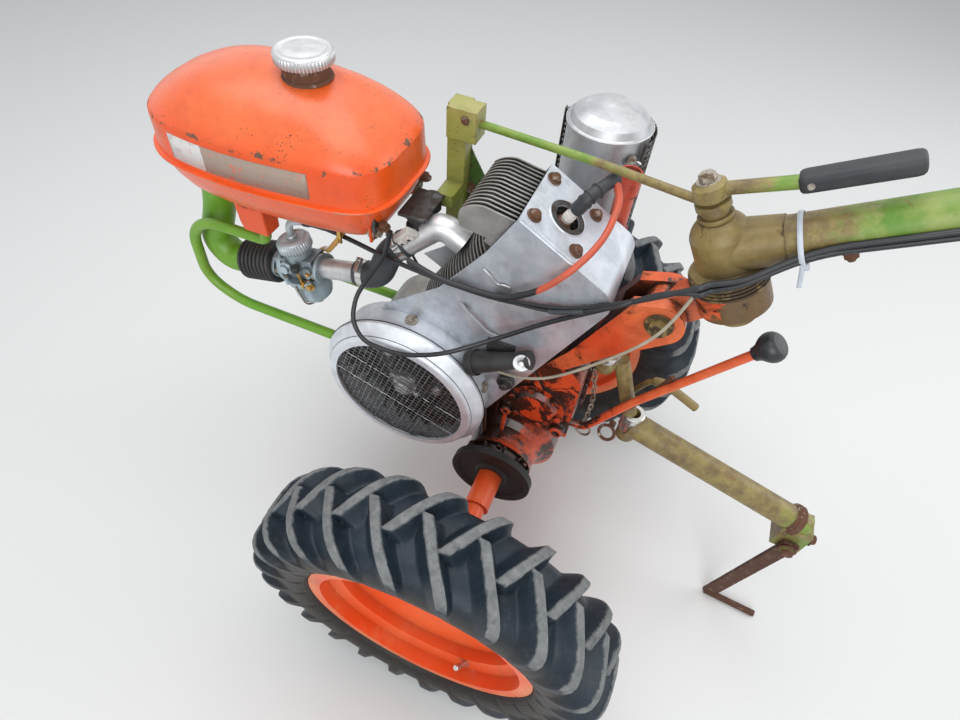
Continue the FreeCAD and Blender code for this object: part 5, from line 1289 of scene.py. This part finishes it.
# %% [markdown]
# Ribs are flat plates: corner points thickened both ways along a direction, with a soft bevel from the mould.
# Low turned bosses stand between them, where shafts and plugs sit behind the wall.

# %% Gearbox ribs and bosses
def rib(mesh, corners, thick, across):
    """Add a plate from corner points, thickened both ways along a direction."""
    shift = Vector(across).normalized() * thick / 2
    loft(mesh, [[(Vector(corner) + way * shift) * MM for corner in corners] for way in (-1, 1)])


mesh = bmesh.new()
for x, z in ((8, 344), (46, 330)):
    rib(mesh, [(x, 31, z + 30), (x, 36, z + 30), (x * 0.7, 66, 318), (x * 0.7, 66, 300), (x, 31, z - 20)], 7,
        (1, 0, 0))
for x, z, radius in ((48, 372, 13), (52, 346, 10), (8, 362, 9), (-76, 352, 11), (30, 440, 10)):
    lathe(mesh, [(radius + 3, -1), (radius, 3), (radius, 12), (radius - 2, 14), (radius - 5, 14),
                 (radius - 5, 10), (0, 10)], at((x, 33, z), LEFT), 28)
rib(mesh, [(-88, 33.5, 350), (-80, 33.5, 352), (-4, 33.5, 480), (-14, 33.5, 484)], 9, LEFT)
rib(mesh, [(20, 33.5, 342), (28, 33.5, 342), (28, 33.5, 440), (20, 33.5, 446)], 9, LEFT)
axle = Vector((0, 0, AXLE_HEIGHT))
for c, s in around(10, math.radians(28))[:5]:
    out = Vector((c, 0, s))
    side = Vector((0, 78, 0))
    corners = [axle + side + out * 44, axle + side + Vector((0, 11, 0)) + out * 43.5,
               axle + side + out * 55.5]
    rib(mesh, corners, 5, Vector(LEFT).cross(out))
close_piece("gearbox_ribs", mesh, case_paint, bevel=1.2)
print("ribs and bosses ready")

# %% [markdown]
# The selector tower ends in a thick ring, and a black disc inside it paints the shade of its open mouth. A
# band with two bolts ties it lower down. One large bolt goes through the ears that carry the column.

# %% Tower ring and ear bolt
tower_place = at((-66, -86, 0))
mesh = bmesh.new()
lathe(mesh, [(11, 706), (15, 706), (15, 727), (14.2, 734), (13.6, 735.5), (11.4, 735.5), (11, 734),
             (11, 728)], tower_place, 36)
lathe(mesh, [(12.5, 640), (15, 641), (15, 655), (12.5, 656)], tower_place, 36)
for height in (652, 560):
    hex_bolt(mesh, (-66, -72, height), LEFT, 11, 6, 1.5)
close_piece("tower_ring", mesh, tower_paint, bevel=0.4)
# Painted shade: a flat black disc just inside the ring stands for the shade in its open mouth.
mesh = bmesh.new()
lathe(mesh, [(0, 728.5), (11.2, 728.5)], tower_place, 36)
close_piece("tower_mouth_shade", mesh, disc_black)
mesh = bmesh.new()
for way in (1, -1):
    hex_bolt(mesh, (-156, 33.1 * way, 626), (0, way, 0), 21, 10, 2.5)
close_piece("ear_bolt", mesh, ochre_paint, bevel=0.5)
print("tower ring and ear bolts ready")

# %% [markdown]
# The muffler's guard is a strip of perforated sheet, bent round the far side and held off by short stays.
# Every hole is real. The strip is a grid of cells, each with an eight-sided hole, and it is bent as the
# points are placed; thickness comes from a modifier. The top row is cut through the holes, so its edge looks
# toothed.

# %% Perforated muffler guard
MUFFLER, GUARD_RADIUS = Vector((-16, -168, 0)), 60.2
COLUMNS, ROWS, HOLE = 30, 19, 0.36  # HOLE is a hole's radius in cells
ARC_START, ARC = math.radians(150), math.radians(210)
GUARD_FOOT, GUARD_TOP = 600.0, 743.0
CELL_HIGH = (GUARD_TOP - GUARD_FOOT) / (ROWS - 0.5)
CORNERS = ((0.5, 0.5), (-0.5, 0.5), (-0.5, -0.5), (0.5, -0.5))
mesh = bmesh.new()
known = {}


def guard_point(column, height):
    """A vertex of the bent strip; equal places share a vertex."""
    key = (round(column, 4), round(height, 4))
    if key not in known:
        angle = ARC_START + ARC * column / COLUMNS
        out = Vector((math.cos(angle), math.sin(angle), 0)) * GUARD_RADIUS
        known[key] = mesh.verts.new((MUFFLER + out + Vector((0, 0, height))) * MM)
    return known[key]


def guard_face(spots):
    mesh.faces.new([guard_point(*spot) for spot in spots])


for column in range(COLUMNS):
    for row in range(ROWS):
        middle, level = column + 0.5, GUARD_FOOT + (row + 0.5) * CELL_HIGH
        corners = [(middle + a, level + b * CELL_HIGH) for a, b in CORNERS]
        if column in (0, COLUMNS - 1) or row == 0:
            guard_face(corners)
            continue
        rim, hole = [], []
        for c, s in around(8, math.radians(22.5)):
            stretch = 0.5 / max(abs(c), abs(s))
            rim.append((middle + c * stretch, level + s * stretch * CELL_HIGH))
            hole.append((middle + HOLE * c, level + HOLE * s * CELL_HIGH))
        for k in range(8):
            n = (k + 1) % 8
            if row == ROWS - 1 and max(rim[k][1], rim[n][1]) > level:
                continue
            corner = [corners[k // 2]] if k % 2 == 0 else []
            guard_face([rim[k]] + corner + [rim[n], hole[n], hole[k]])
guard = close_piece("muffler_guard_sheet", mesh, dark_steel, sharp=60)
sheet = guard.modifiers.new("sheet", "SOLIDIFY")
sheet.thickness = 1.3 * MM
sheet.offset = 0
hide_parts("muffler_guard")
mesh = bmesh.new()
for angle in (math.radians(degrees) for degrees in (180, 255, 330)):
    out = Vector((math.cos(angle), math.sin(angle), 0))
    for height in (624, 718):
        spot = MUFFLER + out * 54 + Vector((0, 0, height))
        lathe(mesh, [(4, -1), (4, 5.6), (0, 5.6)], at(spot, out), 16)
hex_bolt(mesh, MUFFLER + Vector((-42, 38, 722)), (-0.74, 0.67, 0), 9, 4, 1)
close_piece("muffler_stays", mesh, bolt_steel)
mesh = bmesh.new()
pipe(mesh, smooth_line([(-52, -126, 716), (-58, -119, 722), (-66, -115, 727), (-70, -112, 733)], 5), 3.4, 8,
     flat=0.4)
pipe(mesh, smooth_line([(-58, -119, 722), (-64, -112, 721), (-72, -108, 724)], 5), 3.4, 8, flat=0.4)
pipe(mesh, circle(MUFFLER + Vector((0, 0, 745.6)), (0, 0, 1), 55.7, 96), 0.9, 6, closed=True)
close_piece("muffler_clip", mesh, bright_alloy)
print("guard faces", len(guard.data.polygons))

# %% [markdown]
# The hitch carries small loose things: a chain that keeps the pin, a ring, a bent release lever and a rod.
# The chain's links are ovals of wire, each turned a quarter to the one above, and they hang along a slack
# line.

# %% Hitch chain, rings and release lever
mesh = bmesh.new()
top, foot = Vector((-101, 10, 486)), Vector((-110, 12, 356))
LINKS = 12
long_way = (foot - top).normalized()
for k in range(LINKS):
    share = (k + 0.5) / LINKS
    slack = math.sin(math.pi * share)
    spot = top.lerp(foot, share) + Vector((-7 * slack, 3 * slack, 0))
    broad = Vector((0.8, 0.6, 0)) if k % 2 else Vector((-0.6, 0.8, 0))
    broad = (broad - long_way * broad.dot(long_way)).normalized()
    oval = [spot + long_way * (c * 3.2 + math.copysign(3.6, c)) + broad * s * 3.4 for c, s in around(14)]
    pipe(mesh, oval, 1.15, 6, closed=True)
pipe(mesh, circle((-112, 12, 344), (0.3, 1, 0.2), 13, 40), 1.8, 8, closed=True)
close_piece("pin_chain", mesh, bolt_steel)
mesh = bmesh.new()
lathe(mesh, [(10, 1), (15.2, 1), (16.6, 0), (16.8, -4), (15.2, -6), (15.2, -30), (16.2, -32), (15.2, -34)],
      at((-176, 0, 409)), 48)
lathe(mesh, [(12, 20), (17.4, 20), (18.2, 18), (18.2, 10), (17.4, 8), (17.2, 8)], at((-112, 0, 501.2)), 48)
close_piece("sleeve_rims", mesh, zinc_steel)
mesh = bmesh.new()
pipe(mesh, circle((-148, 24, 372), (0.2, 1, 0.5), 12, 40), 2.6, 8, closed=True)
lathe(mesh, [(0, -3), (5, -3), (5, 3), (0, 3)], at((-152, 14, 384), (0.2, 1, 0)), 16)
pipe(mesh, smooth_line([(-158, 13, 420), (-170, 14, 446), (-186, 14, 486), (-201, 14, 527)], 5), 3.6, 12)
close_piece("hitch_rod", mesh, nut_rust)
mesh = bmesh.new()
lever = smooth_line([(-156, -14, 424), (-168, -16, 448), (-180, -17, 468), (-198, -17, 474), (-222, -18, 462),
                     (-252, -18, 446)], 6)
pipe(mesh, lever, [4.2 if i < 14 else 6.4 for i in range(len(lever))], 14)
close_piece("release_lever", mesh, ochre_paint)
mesh = bmesh.new()
hex_bolt(mesh, (-467, 33, 258), LEFT, 17, 8, 2)
hex_bolt(mesh, (-494, 6, 268), (-1, 0, 0), 14, 7, 2)
lathe(mesh, [(0, 0), (5, 0), (5, 22), (3, 24), (0, 24)], at((-490, -8, 250), (-1, 0, -0.25)), 20)
lathe(mesh, [(23, -2), (25, 0), (25, 8), (20.5, 14)], at((-462, 0, 293.4), (0.953, 0, 0.303)), 48)
close_piece("drawbar_bolts", mesh, nut_rust, bevel=0.3)
print("chain links", LINKS)

# %% [markdown]
# The cables are held to the handlebar tube by a white plastic tie. It is a flat strap: the same pipe helper,
# squeezed, on a loop round the tube, with its tail left long. It turns with the handlebar.

# %% Cable tie, tube bolt and lever pin
SWING_FOOT, SWING = Vector((-187, 0, 732)), Vector((0.5, 0, 0.8660))
TUBE_WAY, TUBE_UP = Vector((-0.857, 0, 0.515)), Vector((0.515, 0, 0.857))
TIE = Vector((-252, 0, 771))
loop = []
for c, s in around(40):
    sideways = 24.4 * c + 9.5 * max(0, c) ** 2
    height = 24.6 * s - 4.0 * max(0, c)
    loop.append(TIE + Vector(LEFT) * sideways + TUBE_UP * height)
mesh = bmesh.new()
pipe(mesh, loop, 2.6, 8, closed=True, flat=0.34, across=TUBE_WAY)
tail = smooth_line([TIE + Vector((2, 22, 0)) - TUBE_UP * 21, TIE + Vector((4, 27, 0)) - TUBE_UP * 30,
                    TIE + Vector((8, 29, 0)) - TUBE_UP * 46], 5)
pipe(mesh, tail, 2.4, 8, flat=0.34, across=TUBE_WAY)
lock = at(TIE + Vector((0, 20, 0)) - TUBE_UP * 22, TUBE_UP)
prism(mesh, [(-4, -3.5), (4, -3.5), (4, 3.5), (-4, 3.5)], -4, 4, lock)
close_piece("cable_tie", mesh, tie_white, body="handlebar")
mesh = bmesh.new()
tube_low = Vector((-285, 0, 791)) - TUBE_UP * 22.5
hex_bolt(mesh, tube_low, -TUBE_UP, 13, 9, 2)
lathe(mesh, [(0, -1), (4, -1), (4, 14), (0, 14)], at(tube_low, -TUBE_UP), 16)
close_piece("tube_bolt", mesh, nut_rust, body="handlebar", bevel=0.3)
mesh = bmesh.new()
hex_bolt(mesh, SWING_FOOT + SWING * 79, SWING, 15, 8, 2)
hex_bolt(mesh, (-233, 7, 829), LEFT, 8, 4, 1)
close_piece("lock_lever_bolts", mesh, bolt_steel, body="handlebar", bevel=0.3)
stroke("cream_wire", [(39, 52, 460), (20, 58, 466), (-20, 60, 474), (-59, 58, 500), (-104, 56, 552),
                      (-140, 55, 598), (-163, 55, 640), (-172, 52, 680), (-176, 50, 700)], 2.0, wire_cream)
print("tie round the tube at", [round(v) for v in TIE])

# %% [markdown]
# A dark green gusset joins the post to the engine, and small brackets and rubber mounts fill the space behind
# the tank. They are flat plates and turned rubbers, with the bolt heads that hold them.

# %% Post gusset and tank mounts
gusset_green = worn_paint("gusset_green", (0.045, 0.13, 0.012), (0.07, 0.16, 0.02), (0.08, 0.06, 0.03),
                          chips=0.5, dirt_and_shade=0.7)
mesh = bmesh.new()
rib(mesh, [(156, -97, 724), (138, -97, 690), (118, -97, 657), (114, -97, 611), (152, -97, 613)], 3, LEFT)
rib(mesh, [(114, -97, 611), (152, -97, 613), (152, -82, 610), (114, -82, 608)], 3, (0, 0, 1))
close_piece("post_gusset", mesh, gusset_green, bevel=0.4)
mesh = bmesh.new()
for place, across in (((140, -95.5, 640), 11), ((128, -95.5, 626), 11), ((141, -70.8, 753), 10)):
    hex_bolt(mesh, place, LEFT, across, 5, 1.5)
for y in (58, -58):
    hex_bolt(mesh, (192, y, 661), (0, 0, 1), 11, 6, 2)
    hex_bolt(mesh, (380, y * 1.1, 630), (0, 1 if y > 0 else -1, 0), 11, 6, 2)
close_piece("frame_bolts", mesh, nut_rust, bevel=0.3)
mesh = bmesh.new()
for y in (12, -30):
    lathe(mesh, [(0, 0), (14, 0), (14, 3), (10, 5), (10, 13), (14, 15), (14, 18), (0, 18)],
          at((170, y, 640)), 32)
close_piece("tank_rubber_mounts", mesh, rubber_black)
print("gusset and mounts ready")

# %% [markdown]
# A tyre valve comes through each rim. It is a small turned stem with a cap, and it is also what shows that a
# wheel has turned.

# %% Tyre valves
VALVE_ANGLE = 4.2
for side, middle_y, way in (("left", WHEEL_Y["left"], 1), ("right", WHEEL_Y["right"], -1)):
    mesh = bmesh.new()
    out = Vector((math.cos(VALVE_ANGLE), 0, math.sin(VALVE_ANGLE)))
    foot = Vector((0, middle_y + way * 20, AXLE_HEIGHT)) + out * 142
    lean = Vector((-out.x * 0.8, way * 0.6, -out.z * 0.8))
    lathe(mesh, [(0, -4), (7, -4), (5.5, 3), (4, 8), (3.8, 22), (0, 22)], at(foot, lean), 20)
    lathe(mesh, [(0, 21), (4.4, 21), (4.4, 30), (3.4, 31), (0, 31)], at(foot, lean), 16)
    close_piece("valve_%s" % side, mesh, zinc_steel, body="wheel_%s" % side)
print("valves 2")

# %% [markdown]
# The bellows joins the air duct to the carburettor. It is moulded rubber with eight round ribs and deep
# grooves between them, so its outline is drawn rib by rib and turned about the intake's axis.

# %% Bellows
mesh = bmesh.new()
BELLOWS_RIBS, BELLOWS_STEP = 8, 7.6
outline = [(18, 0), (28, 0.2)]
for k in range(BELLOWS_RIBS):
    foot = 1.0 + k * BELLOWS_STEP
    for share in range(7):
        angle = math.pi * share / 6
        outline.append((24.4 + 7.4 * math.sin(angle), foot + 2.9 - 2.9 * math.cos(angle)))
    outline.append((23.6, foot + 6.6))
outline += [(27, 62), (18, 62)]
lathe(mesh, outline, at(on_carb(44.5, 0, 0), AHEAD), 56)
ribs = close_piece("bellows_ribs", mesh, bellows_black, sharp=70)
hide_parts("bellows")
mesh = bmesh.new()
boot_line = smooth_line([(334, 30.4, 600.5), (324, 31, 602.6), (312, 32, 604), (299, 33, 604.6)], 5)
pipe(mesh, boot_line, [6.6 if i < 5 else 6.2 - 0.12 * i for i in range(len(boot_line))], 16)
close_piece("throttle_boot", mesh, grip_black)
print("bellows outline points", len(outline))

# %% [markdown]
# The tank stands on tapered feet in front and on two short straps behind, where a dark plate carries it. The
# feet widen upward into the pan, as pressed brackets do, and the straps hang beside the frame.

# %% Tank feet
foot_paint = worn_paint("foot_paint", (0.84, 0.085, 0.008), (0.84, 0.11, 0.014), (0.13, 0.075, 0.05),
                        chips=0.25, dirt_and_shade=0.5)
mesh = bmesh.new()
FOOT_LEVELS = ((597.5, 360, 398, 50, 77), (612, 359, 400, 50, 78.5), (650, 358.2, 401.8, 49.2, 79))
for side in (1, -1):
    rings = []
    for height, x0, x1, y0, y1 in FOOT_LEVELS:
        plan = ((x0, y0), (x1, y0), (x1, y1), (x0, y1))
        rings.append([mesh.verts.new(Vector((x, side * y, height)) * MM) for x, y in plan])
    mesh.faces.new(rings[0])
    skin(mesh, rings)
    strap = [(205, side * 45), (209, side * 45), (209, side * 67), (205, side * 67)]
    levels = ((638, 0), (660, 0), (682, 3))
    loft(mesh, [[Vector((x + lean, y, height)) * MM for x, y in strap] for height, lean in levels])
feet = close_piece("tank_foot_brackets", mesh, foot_paint, bevel=2.0)
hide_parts("tank_feet")
mesh = bmesh.new()
prism(mesh, [(152, -34), (190, -34), (190, 26), (152, 26)], 658.5, 663.5, at((0, 0, 0)))
for y in (54, -54):
    prism(mesh, [(199, y - 12), (204, y - 12), (204, y + 12), (199, y + 12)], 655, 681, at((0, 0, 0)))
close_piece("tank_rear_plate", mesh, dark_steel, bevel=0.8)
mesh = bmesh.new()
for y in (56, -56):
    for x, way in ((204.8, -1), (209.2, 1)):
        hex_bolt(mesh, (x, y, 650), (way, 0, 0), 12, 6, 2)
close_piece("strap_bolts", mesh, bolt_steel, bevel=0.3)
print("tank feet and straps", feet.name)

# %% [markdown]
# The lock lever's grip is moulded rubber, a little flat, with rounded ends and shallow grooves along it. It
# is a stack of sections along the grip's line: each is a rounded rectangle whose corners come from a power.

# %% Grip of the lock lever
GRIP_FOOT, GRIP_END = Vector((-224, 0, 824)), Vector((-308, 0, 872))
GRIP_WAY = (GRIP_END - GRIP_FOOT).normalized()
GRIP_UP = GRIP_WAY.cross(Vector(LEFT))
SECTIONS = ((0, 0.55), (0.01, 0.80), (0.03, 0.95), (0.07, 1.0), (0.5, 1.0), (0.92, 1.0), (0.965, 0.95),
            (0.99, 0.78), (1.0, 0.5))
outlines = []
for share, size in SECTIONS:
    outline = []
    for k, (c, s) in enumerate(around(48)):
        groove = 0.96 if k % 6 == 3 and abs(s) > 0.45 else 1.0
        wide = math.copysign(abs(c) ** 0.6, c) * 12.0 * size
        high = math.copysign(abs(s) ** 0.6, s) * 9.6 * size * groove
        spot = GRIP_FOOT.lerp(GRIP_END, share) + Vector((0, wide, 0)) + GRIP_UP * high
        outline.append(spot * MM)
    outlines.append(outline)
mesh = bmesh.new()
loft(mesh, outlines)
grip = close_piece("lock_grip_rubber", mesh, grip_black, body="handlebar", sharp=50)
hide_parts("lock_lever_grip")
print("grip length", round((GRIP_END - GRIP_FOOT).length))

# %% [markdown]
# Brass-coloured spring washers lie between the elbow and the knuckle. They are thin turned rings with a gap
# of shadow between each two, stacked on the swing axis.

# %% Washers on the swing axis
swing_place = at(SWING_FOOT, SWING)
mesh = bmesh.new()
for level in (-33.5, -38.0, -42.5):
    lathe(mesh, [(40.0, level - 1.4), (41.8, level - 1.4), (42.4, level), (41.8, level + 1.4),
                 (40.0, level + 1.4)], swing_place, 72)
close_piece("knuckle_washers", mesh, ochre_paint, bevel=0.3)
mesh = bmesh.new()
lathe(mesh, [(38.8, -31.6), (40.6, -31.6), (41.4, -30.4), (41.4, -26), (40.2, -24.6), (38.8, -24.6)],
      swing_place, 72)
lathe(mesh, [(17.5, 37), (18.6, 38), (18.6, 41.5), (17.5, 42.5), (14, 42.5), (14, 37)], swing_place, 56)
close_piece("elbow_rings", mesh, ochre_paint, body="handlebar", bevel=0.3)
print("washers 3")

# %% [markdown]
# The gear knob is a hard rubber bulb with a flat, slightly dished face, polished by the palm. It is one
# turned outline on the lever's own direction, so it is round where the solid model shows facets.

# %% Gear knob
KNOB, LEVER_BEND = Vector((-272, 22, 624)), Vector((-166, 21, 458))
knob_place = at(KNOB, KNOB - LEVER_BEND)
bulb = [(6.2, -6), (8.6, -5.8), (9.2, -3), (10.5, 1), (13.6, 5), (16.6, 9.5), (18.2, 14), (18.4, 18),
        (17.2, 22.5), (14.6, 26.2), (12.4, 27.8), (11.2, 27.6), (6, 27.0), (0, 26.9)]
mesh = bmesh.new()
lathe(mesh, bulb, knob_place, 56)
knob = close_piece("gear_knob_bulb", mesh, knob_black, sharp=60)
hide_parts("gear_knob")
print("knob points", len(bulb))

# %% [markdown]
# The cables pass the swing axis in one length on the real machine. Here the front lengths belong to the
# chassis and the rear ones to the handlebar, so two short lengths join their ends. They ride on no body, and
# their points are baked into place.

# %% Cable lengths that cross the swing axis
FRONT_END, REAR_START, CABLE_GAP = Vector((-178, 51, 712)), Vector((-186, 46, 716)), SWING * -8
mesh = bmesh.new()
for offset in (Vector(), CABLE_GAP):
    first, last = FRONT_END + offset, REAR_START + offset
    line = smooth_line([first + Vector((7, 0.4, -5)), first, first.lerp(last, 0.5), last,
                        last + Vector((-7, -0.5, 4))], 4)
    pipe(mesh, line, 3.5, 16)
crossing = close_piece("cable_crossing", mesh, cable_black, body=None, sharp=60)
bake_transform(crossing)
print("cables cross over", round((REAR_START - FRONT_END).length, 1), "mm")

# %% [markdown]
# A thin black wire runs along the shroud's side to the stop switch, with a grey sleeve where it was once cut
# and joined. Like the cream wire it lies on the sheet and is held by the cables at its two ends.

# %% Thin wire with a sleeve
THIN_WIRE = [(44, 60, 607), (30, 64.5, 613.5), (-7, 64.5, 617.5), (-37, 64.5, 623.5), (-65, 64.5, 636.5),
             (-87, 64, 650.5), (-106, 62, 663), (-118, 57, 671)]
mesh = bmesh.new()
pipe(mesh, smooth_line(THIN_WIRE, 8), 1.5, 12)
close_piece("thin_wire", mesh, cable_black, sharp=60)
mesh = bmesh.new()
pipe(mesh, smooth_line([(-30, 64.6, 621.8), (-37, 64.6, 623.5), (-51, 64.6, 629.6), (-65, 64.6, 636.5),
                        (-70, 64.4, 639.6)], 5), 2.7, 16)
close_piece("thin_wire_sleeve", mesh, hose_grey, sharp=60)
print("thin wire points", len(THIN_WIRE))

# %% [markdown]
# The two grips are moulded rubber sleeves with finger rings and a closed, rounded end. They are hidden in the
# photo, so their ribs follow the type. A small ball closes each hand lever, so that it doesn't catch a
# sleeve.

# %% Grips and lever ends
GRIP_RADIUS, GRIP_LENGTH, RIBS, RIB_STEP, BALL_RADIUS = 17.0, 115.0, 13, 7.0, 6.2
outline = [(0, 0), (8, 0.2), (13, 1.2), (15.8, 3.4), (GRIP_RADIUS, 7), (GRIP_RADIUS, 12)]
for k in range(RIBS):
    level = 13 + k * RIB_STEP
    for inset, up in ((1.6, 0), (1.6, 1.6), (0, 2.8), (0, 5.8)):
        outline.append((GRIP_RADIUS - inset, level + up))
outline += [(GRIP_RADIUS, GRIP_LENGTH - 2), (GRIP_RADIUS - 1, GRIP_LENGTH), (0, GRIP_LENGTH)]
mesh = bmesh.new()
for side in (1, -1):
    lathe(mesh, outline, at((-911, side * 255, 972), (115, 0, -12)), 48)
handles = close_piece("grip_sleeves", mesh, grip_black, body="handlebar", sharp=50)
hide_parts("grips")
mesh = bmesh.new()
half_turn = around(24, -math.pi / 2)[1:12]
ball = [(0, -BALL_RADIUS)] + [(BALL_RADIUS * c, BALL_RADIUS * s) for c, s in half_turn] + [(0, BALL_RADIUS)]
for side in (1, -1):
    lathe(mesh, ball, at((-902, side * 261, 928), (-1, 0, 0.1)), 24)
close_piece("lever_ends", mesh, rubber_black, body="handlebar", sharp=60)
print("grip ribs", RIBS)

# %% [markdown]
# The last call updates the view layer, so every piece's place is current.


bpy.context.view_layer.update()
